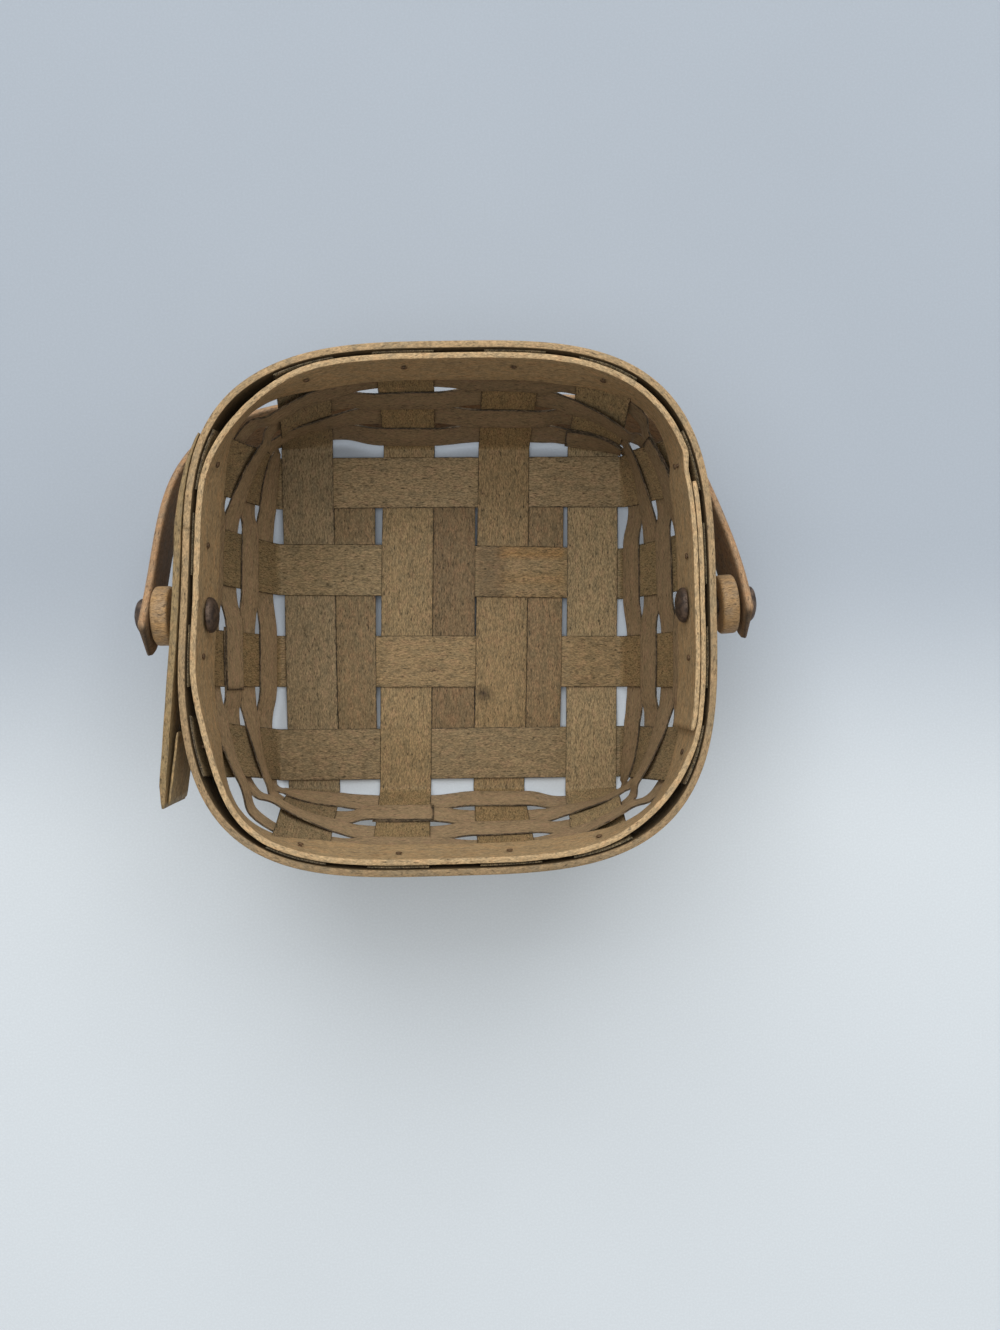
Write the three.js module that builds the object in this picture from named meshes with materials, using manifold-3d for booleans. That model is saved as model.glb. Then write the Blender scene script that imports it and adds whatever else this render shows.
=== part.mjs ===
// A square splint berry basket with one bentwood swing handle.
// All sizes are in millimetres and +Z is up. The basket stands on z = 0, with the
// origin under its middle. The two handle rivets lie along X, and the handle rests
// lowered towards +Y. North is +Y, east is +X.
import * as THREE from 'three';
import { mergeVertices } from 'three/addons/utils/BufferGeometryUtils.js';
import Module from 'manifold-3d';

const { degToRad, lerp, clamp, smoothstep } = THREE.MathUtils;

// Whole basket
const rimWidth = 162.5; // outside of the outer band along X
const rimDepth = 160.8; // outside of the outer band along Y
const basketHeight = 76; // floor to the top edge of the bands
const floorWidth = 124.6; // between the bend lines of the crosswise splints
const floorDepth = 124.6; // between the bend lines of the lengthwise splints
const bandLean = 1.1; // how far the wall leans out over the height of the bands
const rimTwist = degToRad(1.3); // turn of the rim against the floor weave
const flarePower = 1.3; // 1 is a straight wall, more flares near the floor
const floorCornerPower = 14; // plan corners at the floor, where 2 is an ellipse
const rimCornerPowers = { northEast: 3.49, northWest: 3.2, southWest: 3.42, southEast: 3.42 };

// Splints
const splintThickness = 0.8; // upsplints, fillers and weavers
const splintGap = 0.3; // clear space between two splints that cross
const upsplintWidth = 18.6;
const upsplintDrop = 1.2; // top ends of the upsplints below the rim
const floorBendRun = 1.1; // length of the bend from floor to wall, on the floor
const floorBendRise = 1.9; // height of the same bend on the wall
const fillerSideGap = 1.5; // clear space beside a floor filler
const fillerEndInset = 2.5; // filler ends short of the outer edge that hides them
const weaverWidth = 12.1;
const weaverStart = 3.7; // height of the lowest weaver edge
const weaverRowGap = 0.3; // least space between two rows
const weaverEdgeMargin = 1.2; // a weaver stays level this far past an upsplint
const spanRoundShare = 0.39; // roundness of a weaver's free span, of its length
const slopeProbeShare = 0.1; // part of half an upsplint that its slope is read over

// Bands round the rim
const bandHeight = 22;
const innerBandThickness = 1.8;
const innerLapThickness = 1.45; // each of the two layers where the inner band laps
const innerLapGap = 0.25;
const innerLapEaseLength = 9; // length over which the band moves into its lap
const innerLapStartAngle = degToRad(-27.2);
const innerLapEndAngle = degToRad(25.8);
const outerBandThickness = 2.1;

// Sprung lap of the outer band, held by the west rivet
const lapThickness = 2.1;
const lapTipThickness = 0.6;
const lapScarfLength = 24;
const lapStartAngle = degToRad(143.3);
const lapLeaveAngle = degToRad(184);
const lapStandOff = 1.1; // gap to the outer band at the rivet
const lapSpringDistance = 3.4; // how far the free end stands out past the rivet line
const lapFreeLength = 52.5; // from where it leaves the band to its free end
const lapEndThickness = 1; // the outer side is cut away here
const lapEndChamfer = 7; // length of that cut
const tongueLength = 21.5;
const tongueHeight = 18;
const tongueThickness = 0.7;
const tongueSpread = 1.1; // gap of the open end of the tongue to the lap
const tongueEndInset = 1; // tongue ends short of the free end of the lap

// Handle, washers, rivets and tacks
const pivotDrop = 11; // rivet axis below the rim
const handleReach = 95; // rivet axis to the middle of the crown
const handleWidth = 15.5;
const handleThickness = 2.6;
const handleChamfer = 0.8;
const handleTail = 8.7; // handle end past the rivet axis
const handleCornerPower = 4; // shape of the bow, where 2 is an ellipse
const handleDrop = degToRad(38); // rest angle below level
const washerDiameter = 18.3;
const washerThickness = 6.6;
const washerChamfer = 0.7;
const eastWasherTilt = degToRad(3.5);
const eastWasherShift = 0.75; // the loose east washer sits this far in from the handle
const rivetDiameter = 4.4;
const rivetHeadDiameter = 11;
const rivetHeadHeight = 2.3;
const rivetRimHeight = 0.7; // upright edge of a domed rivet head
const domeShares = [[0.82, 0.6], [0.45, 0.92]]; // radius and height of points on the dome
const capBoreDepth = 1.2; // how far the rivet enters its inner cap
const fitGap = 0.3; // running clearance between separate pieces
const washerBoreGap = 0.5;
const tackDrop = 7.5; // tack line below the rim
const tackHeadDiameter = 2;
const tackHeadHeight = 0.5;
const tackShankDiameter = 1.1;
const tackHoleGap = 0.2;
const tackBite = 1.2; // depth of a tack in the outer band
const cutOverrun = 3; // how far a cutting tool reaches past its work

// Steps of the meshes
const rowSteps = 2;
const lapWallSteps = 12;
const lapFreeSteps = 6;
const bandSteps = 2;
const bendSteps = 2;
const cornerSteps = 4;
const rimCornerSteps = 7;
const rimStepClearance = 0.25; // nearest a band step may lie to a band end, of one step
const handleSteps = 30;
const roundSides = 20;
const smallSides = 6;

// Places of the upsplints, as shares of half the floor and of half the rim
const lengthwiseShares = [
  { floor: -0.818, north: -0.53, south: -0.6 },
  { floor: -0.255, north: -0.15, south: -0.212 },
  { floor: 0.296, north: 0.28, south: 0.222 },
  { floor: 0.828, north: 0.637, south: 0.576 },
];
const crosswiseShares = [
  { floor: 0.797, east: 0.556, west: 0.593 },
  { floor: 0.276, east: 0.193, west: 0.269 },
  { floor: -0.25, east: -0.212, west: -0.162 },
  { floor: -0.787, east: -0.591, west: -0.509 },
];
// The one crosswise splint that each filler lies over, counted from the north from 0
const fillerCrossIndices = [2, 1, 2];
// The leg that each weaver row laps over, from the lowest row up. Legs are counted
// from 0, anticlockwise from the south end of the east wall.
const weaverLapIndices = [4, 13, 10, 3];

// Worked-out sizes
const bandFoot = basketHeight - bandHeight;
const splintPitch = splintThickness + splintGap;
const rimStack = outerBandThickness + splintGap + splintThickness / 2;
const rimHalfX = rimWidth / 2 - rimStack;
const rimHalfY = rimDepth / 2 - rimStack;
const floorHalfX = floorWidth / 2;
const floorHalfY = floorDepth / 2;
const lowLevel = splintThickness / 2;
const highLevel = lowLevel + splintPitch;
const upsplintTop = basketHeight - upsplintDrop;
const pivotHeight = basketHeight - pivotDrop;
const tackHeight = basketHeight - tackDrop;
const weaverRowCount = Math.floor((bandFoot - weaverStart) / (weaverWidth + weaverRowGap));
const weaverPitch = (bandFoot - weaverStart) / weaverRowCount;
const legCurveStart = bandFoot - weaverPitch; // foot of the top weaver row
const rivetRadius = rivetDiameter / 2;
const innerFaceInset = splintThickness / 2 + splintGap + innerBandThickness;
const lapInnerFaceInset = splintThickness / 2 + splintGap + innerLapGap + 2 * innerLapThickness;
const outerFaceOffset = rimStack;
const lapOuterOffset = outerFaceOffset + lapStandOff + lapThickness;
const washerLean = bandLean / bandHeight * washerDiameter / 2;
const handleInnerX = wallHalf(floorHalfX, rimHalfX, pivotHeight) + lapOuterOffset + washerLean
  + washerThickness + 2 * fitGap;
const handleHalf = handleInnerX + handleThickness / 2;

// Half width of the middle of the wall at height z
function wallHalf(floorHalf, rimHalf, z) {
  const footHalf = rimHalf - bandLean;
  if (z > bandFoot) return footHalf + bandLean * (z - bandFoot) / bandHeight;
  return floorHalf + (footHalf - floorHalf) * (1 - (1 - Math.max(z, 0) / bandFoot) ** flarePower);
}

function cornerPower(x, y, z) {
  const south = x < 0 ? 'southWest' : 'southEast';
  const north = x < 0 ? 'northWest' : 'northEast';
  const rimPower = rimCornerPowers[y < 0 ? south : north];
  return rimPower + (floorCornerPower - rimPower) * Math.max(1 - z / bandFoot, 0) ** 2;
}

// The floor weave is turned against the rim, and the wall turns evenly between them
function turned(x, y, z) {
  const turn = -rimTwist * (1 - z / basketHeight);
  return new THREE.Vector3(x, y, z).applyAxisAngle(new THREE.Vector3(0, 0, 1), turn);
}

// Point of the wall in a plan direction, moved out from its middle by out
function wallPoint(angle, z, out) {
  const halfX = wallHalf(floorHalfX, rimHalfX, z);
  const halfY = wallHalf(floorHalfY, rimHalfY, z);
  const c = Math.cos(angle);
  const s = Math.sin(angle);
  const power = cornerPower(c, s, z);
  const radius = (Math.abs(c / halfX) ** power + Math.abs(s / halfY) ** power) ** (-1 / power);
  const normal = new THREE.Vector2(
    Math.sign(c) * Math.abs(radius * c / halfX) ** (power - 1) / halfX,
    Math.sign(s) * Math.abs(radius * s / halfY) ** (power - 1) / halfY,
  ).normalize();
  return turned(radius * c + out * normal.x, radius * s + out * normal.y, z);
}

// Other plan coordinate of the wall where the first one is known
function acrossWall(place, half, otherHalf, power) {
  return otherHalf * Math.max(1 - Math.abs(place / half) ** power, 0) ** (1 / power);
}

// Upsplints run lengthwise (along Y) or crosswise (along X). A leg is one of their
// two uprights, on side 1 (north or east) or side -1 (south or west).
function legPlan(splint, side, place, z) {
  const halfX = wallHalf(floorHalfX, rimHalfX, z);
  const halfY = wallHalf(floorHalfY, rimHalfY, z);
  if (splint.lengthwise) {
    const y = side * acrossWall(place, halfX, halfY, cornerPower(place, side, z));
    return new THREE.Vector2(place, y);
  }
  const x = side * acrossWall(place, halfY, halfX, cornerPower(side, place, z));
  return new THREE.Vector2(x, place);
}

function legPlace(splint, side, z) {
  const rimPlace = side > 0 ? splint.farRimPlace : splint.nearRimPlace;
  return lerp(splint.floorPlace, rimPlace, z / basketHeight);
}

// Edge, middle and other edge of an upsplint, anticlockwise on its north or east leg
function columnSteps(splint) {
  return splint.lengthwise ? [1, 0, -1] : [-1, 0, 1];
}

// Plan points of the two edges and the middle of a leg at height z. A leg is flat
// across at the lower rows, and takes the curve of the wall between the bands.
function legRow(splint, side, z) {
  const place = legPlace(splint, side, z);
  const half = upsplintWidth / 2;
  const middle = legPlan(splint, side, place, z);
  const probe = half * slopeProbeShare;
  const slope = legPlan(splint, side, place + probe, z).sub(legPlan(splint, side, place - probe, z));
  slope.normalize();
  const run = half * Math.abs(splint.lengthwise ? slope.x : slope.y);
  const curveShare = clamp((z - legCurveStart) / (bandFoot - legCurveStart), 0, 1);
  return columnSteps(splint).map((step) => {
    const flat = middle.clone().addScaledVector(slope, step * half);
    return flat.lerp(legPlan(splint, side, place + step * run, z), curveShare);
  });
}

function upsplints() {
  const lengthwise = lengthwiseShares.map((shares, index) => ({
    name: `lengthwise_upsplint_${index + 1}`,
    lengthwise: true,
    index,
    floorPlace: shares.floor * floorHalfX,
    farRimPlace: shares.north * rimHalfX,
    nearRimPlace: shares.south * rimHalfX,
  }));
  const crosswise = crosswiseShares.map((shares, index) => ({
    name: `crosswise_upsplint_${index + 1}`,
    lengthwise: false,
    index,
    floorPlace: shares.floor * floorHalfY,
    farRimPlace: shares.east * rimHalfY,
    nearRimPlace: shares.west * rimHalfY,
  }));
  return [...lengthwise, ...crosswise];
}

const splints = upsplints();
const lengthwiseSplints = splints.filter((splint) => splint.lengthwise);
const crosswiseSplints = splints.filter((splint) => !splint.lengthwise);

// All legs, anticlockwise from the south end of the east wall
function legsAround() {
  const east = [...crosswiseSplints].reverse().map((splint) => ({ splint, side: 1 }));
  const north = [...lengthwiseSplints].reverse().map((splint) => ({ splint, side: 1 }));
  const west = crosswiseSplints.map((splint) => ({ splint, side: -1 }));
  const south = lengthwiseSplints.map((splint) => ({ splint, side: -1 }));
  return [...east, ...north, ...west, ...south];
}

const legs = legsAround();
const legsPerWall = legs.length / 4;
const fullTurn = 2 * Math.PI;

// Plan angle of a leg's edges and middle at height z, rising with each leg
function legAngles(legNumber, z) {
  const { splint, side } = legs[legNumber % legs.length];
  const points = legRow(splint, side, z);
  const turns = Math.floor(legNumber / legs.length) * fullTurn;
  const angles = points.map((point) => {
    const angle = Math.atan2(point.y, point.x);
    const wrapped = angle < 0 && legNumber % legs.length > legsPerWall ? angle + fullTurn : angle;
    return wrapped + turns;
  });
  return angles.sort((a, b) => a - b);
}

// Closed solid of a bent strip. grid[i][j] lies on its middle surface, i runs along
// the strip and j across it.
function ribbon(grid, thicknessAt) {
  const rowCount = grid.length;
  const columnCount = grid[0].length;
  const step = (from, to) => to.clone().sub(from).normalize();
  const along = (i, j) => {
    const sum = new THREE.Vector3();
    if (i > 0) sum.add(step(grid[i - 1][j], grid[i][j]));
    if (i < rowCount - 1) sum.add(step(grid[i][j], grid[i + 1][j]));
    return sum;
  };
  const across = (i, j) => {
    const sum = new THREE.Vector3();
    if (j > 0) sum.add(step(grid[i][j - 1], grid[i][j]));
    if (j < columnCount - 1) sum.add(step(grid[i][j], grid[i][j + 1]));
    return sum;
  };
  const positions = [];
  for (const face of [1, -1]) {
    for (let i = 0; i < rowCount; i += 1) {
      for (let j = 0; j < columnCount; j += 1) {
        const offset = along(i, j).cross(across(i, j)).normalize();
        offset.multiplyScalar(face * thicknessAt(i, j) / 2);
        positions.push(...grid[i][j].clone().add(offset).toArray());
      }
    }
  }
  const top = (i, j) => i * columnCount + j;
  const bottom = (i, j) => rowCount * columnCount + top(i, j);
  const indices = [];
  const quad = (a, b, c, d) => indices.push(a, b, c, a, c, d);
  for (let i = 0; i < rowCount - 1; i += 1) {
    for (let j = 0; j < columnCount - 1; j += 1) {
      quad(top(i, j), top(i + 1, j), top(i + 1, j + 1), top(i, j + 1));
      quad(bottom(i, j), bottom(i, j + 1), bottom(i + 1, j + 1), bottom(i + 1, j));
    }
    const last = columnCount - 1;
    quad(top(i, 0), bottom(i, 0), bottom(i + 1, 0), top(i + 1, 0));
    quad(top(i, last), top(i + 1, last), bottom(i + 1, last), bottom(i, last));
  }
  for (let j = 0; j < columnCount - 1; j += 1) {
    const last = rowCount - 1;
    quad(top(0, j), top(0, j + 1), bottom(0, j + 1), bottom(0, j));
    quad(top(last, j), bottom(last, j), bottom(last, j + 1), top(last, j + 1));
  }
  const geometry = new THREE.BufferGeometry();
  geometry.setAttribute('position', new THREE.Float32BufferAttribute(positions, 3));
  geometry.setIndex(indices);
  return geometry;
}

// Boolean cuts
const wasm = await Module();
wasm.setup();

function bare(geometry) {
  const copy = geometry.clone();
  copy.deleteAttribute('normal');
  copy.deleteAttribute('uv');
  return mergeVertices(copy);
}

function toSolid(geometry) {
  const merged = bare(geometry);
  const vertProperties = new Float32Array(merged.attributes.position.array);
  const triVerts = new Uint32Array(merged.index.array);
  return new wasm.Manifold(new wasm.Mesh({ numProp: 3, vertProperties, triVerts }));
}

function toGeometry(solid) {
  const mesh = solid.getMesh();
  const geometry = new THREE.BufferGeometry();
  geometry.setAttribute('position', new THREE.Float32BufferAttribute(mesh.vertProperties, 3));
  geometry.setIndex([...mesh.triVerts]);
  return geometry;
}

function cut(geometry, tools) {
  return toGeometry(tools.reduce((solid, tool) => solid.subtract(toSolid(tool)), toSolid(geometry)));
}

// Round bar from one point to another
function bar(from, to, radius, sides) {
  const length = from.distanceTo(to);
  const geometry = new THREE.CylinderGeometry(radius, radius, length, sides);
  const direction = to.clone().sub(from).normalize();
  geometry.applyQuaternion(new THREE.Quaternion().setFromUnitVectors(new THREE.Vector3(0, 1, 0), direction));
  geometry.translate(...from.clone().add(to).divideScalar(2).toArray());
  return geometry;
}

// Turned piece whose axis runs from a point along a direction
function turnedPiece(profile, from, direction, sides) {
  const points = profile.map(([radius, height]) => new THREE.Vector2(radius, height));
  const geometry = new THREE.LatheGeometry(points, sides);
  geometry.applyQuaternion(new THREE.Quaternion().setFromUnitVectors(new THREE.Vector3(0, 1, 0), direction));
  geometry.translate(...from.toArray());
  return geometry;
}

// Levels of the floor weave: a lengthwise splint lies over a crosswise one where
// their numbers are both odd or both even
const liesOver = (lengthIndex, crossIndex) => (lengthIndex + crossIndex) % 2 === 0;
const levelOf = (isOver) => (isOver ? highLevel : lowLevel);

function fillers() {
  return fillerCrossIndices.map((overCross, index) => {
    const west = lengthwiseSplints[index].floorPlace + upsplintWidth / 2 + fillerSideGap;
    const east = lengthwiseSplints[index + 1].floorPlace - upsplintWidth / 2 - fillerSideGap;
    return { name: `floor_filler_${index + 1}`, overCross, west, east };
  });
}

const floorFillers = fillers();

// Pieces that a splint crosses on the floor, in order along it, with its own level
function floorCrossings(splint) {
  const half = upsplintWidth / 2;
  if (splint.lengthwise) {
    return crosswiseSplints.map((other) => ({
      from: other.floorPlace - half,
      to: other.floorPlace + half,
      level: levelOf(liesOver(splint.index, other.index)),
    })).sort((a, b) => a.from - b.from);
  }
  const upright = lengthwiseSplints.map((other) => ({
    from: other.floorPlace - half,
    to: other.floorPlace + half,
    level: levelOf(!liesOver(other.index, splint.index)),
  }));
  const filled = floorFillers.map((filler) => ({
    from: filler.west,
    to: filler.east,
    level: levelOf(filler.overCross !== splint.index),
  }));
  return [...upright, ...filled].sort((a, b) => a.from - b.from);
}

// Rows of one upright, from the floor bend to its top
function legGrid(splint, side, level) {
  const bendTop = level + floorBendRise;
  const heights = [bendTop];
  for (let i = 1; i < rowSteps * weaverRowCount; i += 1) heights.push(weaverStart + weaverPitch * i / rowSteps);
  for (let i = 0; i <= bandSteps; i += 1) heights.push(lerp(bandFoot, upsplintTop, i / bandSteps));
  const wall = heights.map((z) => legRow(splint, side, z).map((point) => turned(point.x, point.y, z)));
  const bend = [];
  for (let i = 0; i <= bendSteps; i += 1) {
    const t = i / (bendSteps + 1);
    bend.push(wall[0].map((top, column) => {
      const start = floorPoint(splint, side * (floorEdge(splint) - floorBendRun), column, level);
      const corner = floorPoint(splint, side * floorEdge(splint), column, level);
      const curve = new THREE.QuadraticBezierCurve3(start, corner, top);
      return curve.getPoint(t);
    }));
  }
  return [...bend, ...wall];
}

function floorEdge(splint) {
  return splint.lengthwise ? floorHalfY : floorHalfX;
}

function floorPoint(splint, alongPlace, column, level) {
  const place = splint.floorPlace + columnSteps(splint)[column] * upsplintWidth / 2;
  return splint.lengthwise ? turned(place, alongPlace, level) : turned(alongPlace, place, level);
}

function upsplintGeometry(splint) {
  const crossings = floorCrossings(splint);
  const near = legGrid(splint, -1, crossings[0].level).reverse();
  const far = legGrid(splint, 1, crossings[crossings.length - 1].level);
  const floor = crossings.flatMap(({ from, to, level }) => [from, to].map(
    (place) => [0, 1, 2].map((column) => floorPoint(splint, place, column, level)),
  ));
  return cut(ribbon([...near, ...floor, ...far], () => splintThickness), tackHolesFor(splint));
}

function fillerGeometry(filler) {
  const rows = [];
  const half = upsplintWidth / 2;
  for (const cross of [...crosswiseSplints].reverse()) {
    const isLast = cross.index === 0;
    const isFirst = cross.index === crosswiseSplints.length - 1;
    const level = levelOf(filler.overCross === cross.index);
    const south = cross.floorPlace - half + (isFirst ? fillerEndInset : 0);
    const north = cross.floorPlace + half - (isLast ? fillerEndInset : 0);
    for (const y of [south, north]) {
      rows.push([turned(filler.west, y, level), turned(filler.east, y, level)]);
    }
  }
  return ribbon(rows, () => splintThickness);
}

// Weaver rows. Each is one strip that starts inside an upsplint, goes round and
// ends inside its own start.
function weaverOffset(row, legNumber) {
  const isInside = (legNumber + row) % 2 === 0;
  return isInside ? -splintPitch : splintPitch;
}

// Plan point and direction at the start (-1), middle (0) or end (1) of a leg, going
// anticlockwise, moved past its edge by margin
function legStation(legNumber, z, step, margin) {
  const { splint, side } = legs[legNumber % legs.length];
  const row = legRow(splint, side, z);
  const points = side > 0 ? row : row.reverse();
  const before = points[Math.max(step, 0)];
  const after = points[Math.min(step + 2, 2)];
  const direction = after.clone().sub(before).normalize();
  return { point: points[step + 1].clone().addScaledVector(direction, step * margin), direction };
}

// Plan point and direction of the free span between a leg and the next one
function spanStation(legNumber, z, t) {
  const start = legStation(legNumber, z, 1, weaverEdgeMargin);
  const end = legStation(legNumber + 1, z, -1, weaverEdgeMargin);
  const reach = spanRoundShare * start.point.distanceTo(end.point);
  const curve = new THREE.CubicBezierCurve(
    start.point,
    start.point.clone().addScaledVector(start.direction, reach),
    end.point.clone().addScaledVector(end.direction, -reach),
    end.point,
  );
  return { point: curve.getPoint(t), direction: curve.getTangent(t) };
}

function movedOut({ point, direction }, z, out) {
  return turned(point.x + out * direction.y, point.y - out * direction.x, z);
}

function weaverGeometry(row) {
  const low = weaverStart + row * weaverPitch;
  const firstLeg = weaverLapIndices[row % weaverLapIndices.length];
  const lastLeg = firstLeg + legs.length;
  const outAt = (leg) => weaverOffset(row, leg) - (leg === lastLeg ? splintPitch : 0);
  const rows = [];
  const addRow = (stationAt, out) => {
    rows.push([low, low + weaverWidth / 2, low + weaverWidth].map((z) => movedOut(stationAt(z), z, out)));
  };
  for (let leg = firstLeg; leg <= lastLeg; leg += 1) {
    for (const step of [-1, 0, 1]) {
      addRow((z) => legStation(leg, z, step, weaverEdgeMargin), outAt(leg));
    }
    const steps = isCorner(leg) ? cornerSteps : 1;
    for (let i = 1; i <= steps && leg < lastLeg; i += 1) {
      const t = i / (steps + 1);
      addRow((z) => spanStation(leg, z, t), lerp(outAt(leg), outAt(leg + 1), smoothstep(t, 0, 1)));
    }
  }
  return ribbon(rows, () => splintThickness);
}

// True for the last leg of a wall, which a corner follows
function isCorner(legNumber) {
  return legNumber % legsPerWall === legsPerWall - 1;
}

// Plan angles round the rim from start to end: each leg's edges and middle, with
// steps between them
function rimAngles(start, end) {
  const angles = [];
  const firstLeg = -legs.length;
  for (let leg = firstLeg; leg < 2 * legs.length; leg += 1) {
    const turns = Math.floor(leg / legs.length) * fullTurn;
    const number = leg - Math.floor(leg / legs.length) * legs.length;
    const own = legAngles(number, pivotHeight).map((angle) => angle + turns);
    const isLast = number === legs.length - 1;
    const next = legAngles(isLast ? 0 : number + 1, pivotHeight)[0] + turns + (isLast ? fullTurn : 0);
    angles.push(...own);
    const steps = isCorner(number) ? rimCornerSteps : 1;
    for (let i = 1; i <= steps; i += 1) angles.push(lerp(own[2], next, i / (steps + 1)));
  }
  const clearance = rimStepClearance * (angles[1] - angles[0]);
  const inside = angles.filter((angle) => angle > start + clearance && angle < end - clearance);
  return [start, ...inside, end];
}

const innerBandOut = -(splintThickness / 2 + splintGap + innerBandThickness / 2);
const innerLapOuterOut = -(splintThickness / 2 + splintGap + innerLapThickness / 2);
const innerLapInnerOut = innerLapOuterOut - innerLapThickness - innerLapGap;

// The inner band starts as the inner layer of its lap, goes round and ends as the
// outer layer
function innerBandAt(angle) {
  const ease = innerLapEaseLength / rimHalfX;
  const start = innerLapStartAngle;
  const end = innerLapEndAngle + fullTurn;
  const fromLap = smoothstep(angle, innerLapEndAngle + ease / 3, innerLapEndAngle + ease);
  const intoLap = smoothstep(angle, start + fullTurn - ease, start + fullTurn - ease / 3);
  const outFirst = lerp(innerLapInnerOut, innerBandOut, fromLap);
  const out = angle > (start + end) / 2 ? lerp(innerBandOut, innerLapOuterOut, intoLap) : outFirst;
  const isFull = clamp(fromLap - intoLap, 0, 1);
  return { out, thickness: lerp(innerLapThickness, innerBandThickness, isFull) };
}

function innerBandGeometry() {
  const ease = innerLapEaseLength / rimHalfX;
  const easeAngles = [innerLapEndAngle + ease / 3, innerLapEndAngle + ease,
    innerLapStartAngle + fullTurn - ease, innerLapStartAngle + fullTurn - ease / 3];
  const angles = rimAngles(innerLapStartAngle, innerLapEndAngle + fullTurn);
  const all = [...angles, ...easeAngles].sort((a, b) => a - b);
  const places = all.map((angle) => ({ angle, ...innerBandAt(angle) }));
  const rows = places.map(({ angle, out }) => [
    wallPoint(angle, bandFoot, out),
    wallPoint(angle, basketHeight, out),
  ]);
  const band = ribbon(rows, (i) => places[i].thickness);
  return cut(band, [...legs.map((leg) => tackHole(leg)), ...rivetHoles()]);
}

// The outer band is one ring
function outerBandGeometry() {
  const out = outerFaceOffset - outerBandThickness / 2;
  const start = legAngles(0, pivotHeight)[0];
  const angles = rimAngles(start, start + fullTurn).slice(0, -1);
  const ring = (z, offset) => angles.map((angle) => wallPoint(angle, z, offset));
  const half = outerBandThickness / 2;
  const loops = [ring(bandFoot, out - half), ring(bandFoot, out + half),
    ring(basketHeight, out + half), ring(basketHeight, out - half)];
  const count = angles.length;
  const indices = [];
  for (let side = 0; side < loops.length; side += 1) {
    const next = (side + 1) % loops.length;
    for (let i = 0; i < count; i += 1) {
      const j = (i + 1) % count;
      const a = side * count + i;
      const b = side * count + j;
      const c = next * count + j;
      const d = next * count + i;
      indices.push(a, b, c, a, c, d);
    }
  }
  const geometry = new THREE.BufferGeometry();
  const positions = loops.flat().flatMap((point) => point.toArray());
  geometry.setAttribute('position', new THREE.Float32BufferAttribute(positions, 3));
  geometry.setIndex(indices);
  return cut(geometry, [...legs.map((leg) => tackHole(leg)), ...rivetHoles()]);
}

// Tacks. Each one goes from inside through the inner band and one upright into the
// outer band.
function tackLine({ splint, side }) {
  const place = legPlace(splint, side, tackHeight);
  const plan = legPlan(splint, side, place, tackHeight);
  const angle = Math.atan2(plan.y, plan.x);
  const middle = wallPoint(angle, tackHeight, 0);
  const direction = wallPoint(angle, tackHeight, 1).sub(middle).normalize();
  const headReach = tackHeadDiameter / rimHalfX;
  const lapEase = innerLapEaseLength / rimHalfX;
  const isAtLap = angle > innerLapStartAngle - headReach && angle < innerLapEndAngle + lapEase;
  const inset = isAtLap ? lapInnerFaceInset : innerFaceInset;
  const tip = splintThickness / 2 + splintGap + tackBite;
  const at = (distance) => middle.clone().addScaledVector(direction, distance);
  return { head: at(-inset - splintGap), tip: at(tip), direction, inset, at };
}

function tackHole(leg) {
  const { at, inset, tip, direction } = tackLine(leg);
  const radius = tackShankDiameter / 2 + tackHoleGap;
  const end = tip.clone().addScaledVector(direction, tackHoleGap);
  return bar(at(-inset - cutOverrun), end, radius, smallSides);
}

function tackHolesFor(splint) {
  return legs.filter((leg) => leg.splint === splint).map((leg) => tackHole(leg));
}

function tackGeometry(leg) {
  const { head, tip, direction } = tackLine(leg);
  const radius = tackShankDiameter / 2;
  const length = head.distanceTo(tip);
  const headRadius = tackHeadDiameter / 2;
  const profile = [[0, 0], [headRadius, 0], [headRadius, tackHeadHeight], [radius, tackHeadHeight],
    [radius, length + tackHeadHeight - radius], [0, length + tackHeadHeight]];
  return turnedPiece(profile, head.addScaledVector(direction, -tackHeadHeight), direction, smallSides);
}

// Holes for the two rivets through the bands and the sprung lap
function rivetHoles() {
  return [-1, 1].map((side) => bar(
    new THREE.Vector3(side * (rimHalfX - innerFaceInset - 2 * cutOverrun), 0, pivotHeight),
    new THREE.Vector3(side * handleInnerX, 0, pivotHeight),
    rivetRadius + fitGap,
    roundSides,
  ));
}

// Middle line of the free part of the lap at its lower and upper edge, from where it
// leaves the band (0) to its end (1)
function freeLapPlace(t) {
  const out = outerFaceOffset + lapStandOff + lapThickness / 2;
  const shift = new THREE.Vector3(-lapSpringDistance * t, -lapFreeLength * t, 0);
  return [bandFoot, basketHeight].map((z) => wallPoint(lapLeaveAngle, z, out).add(shift));
}

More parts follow.
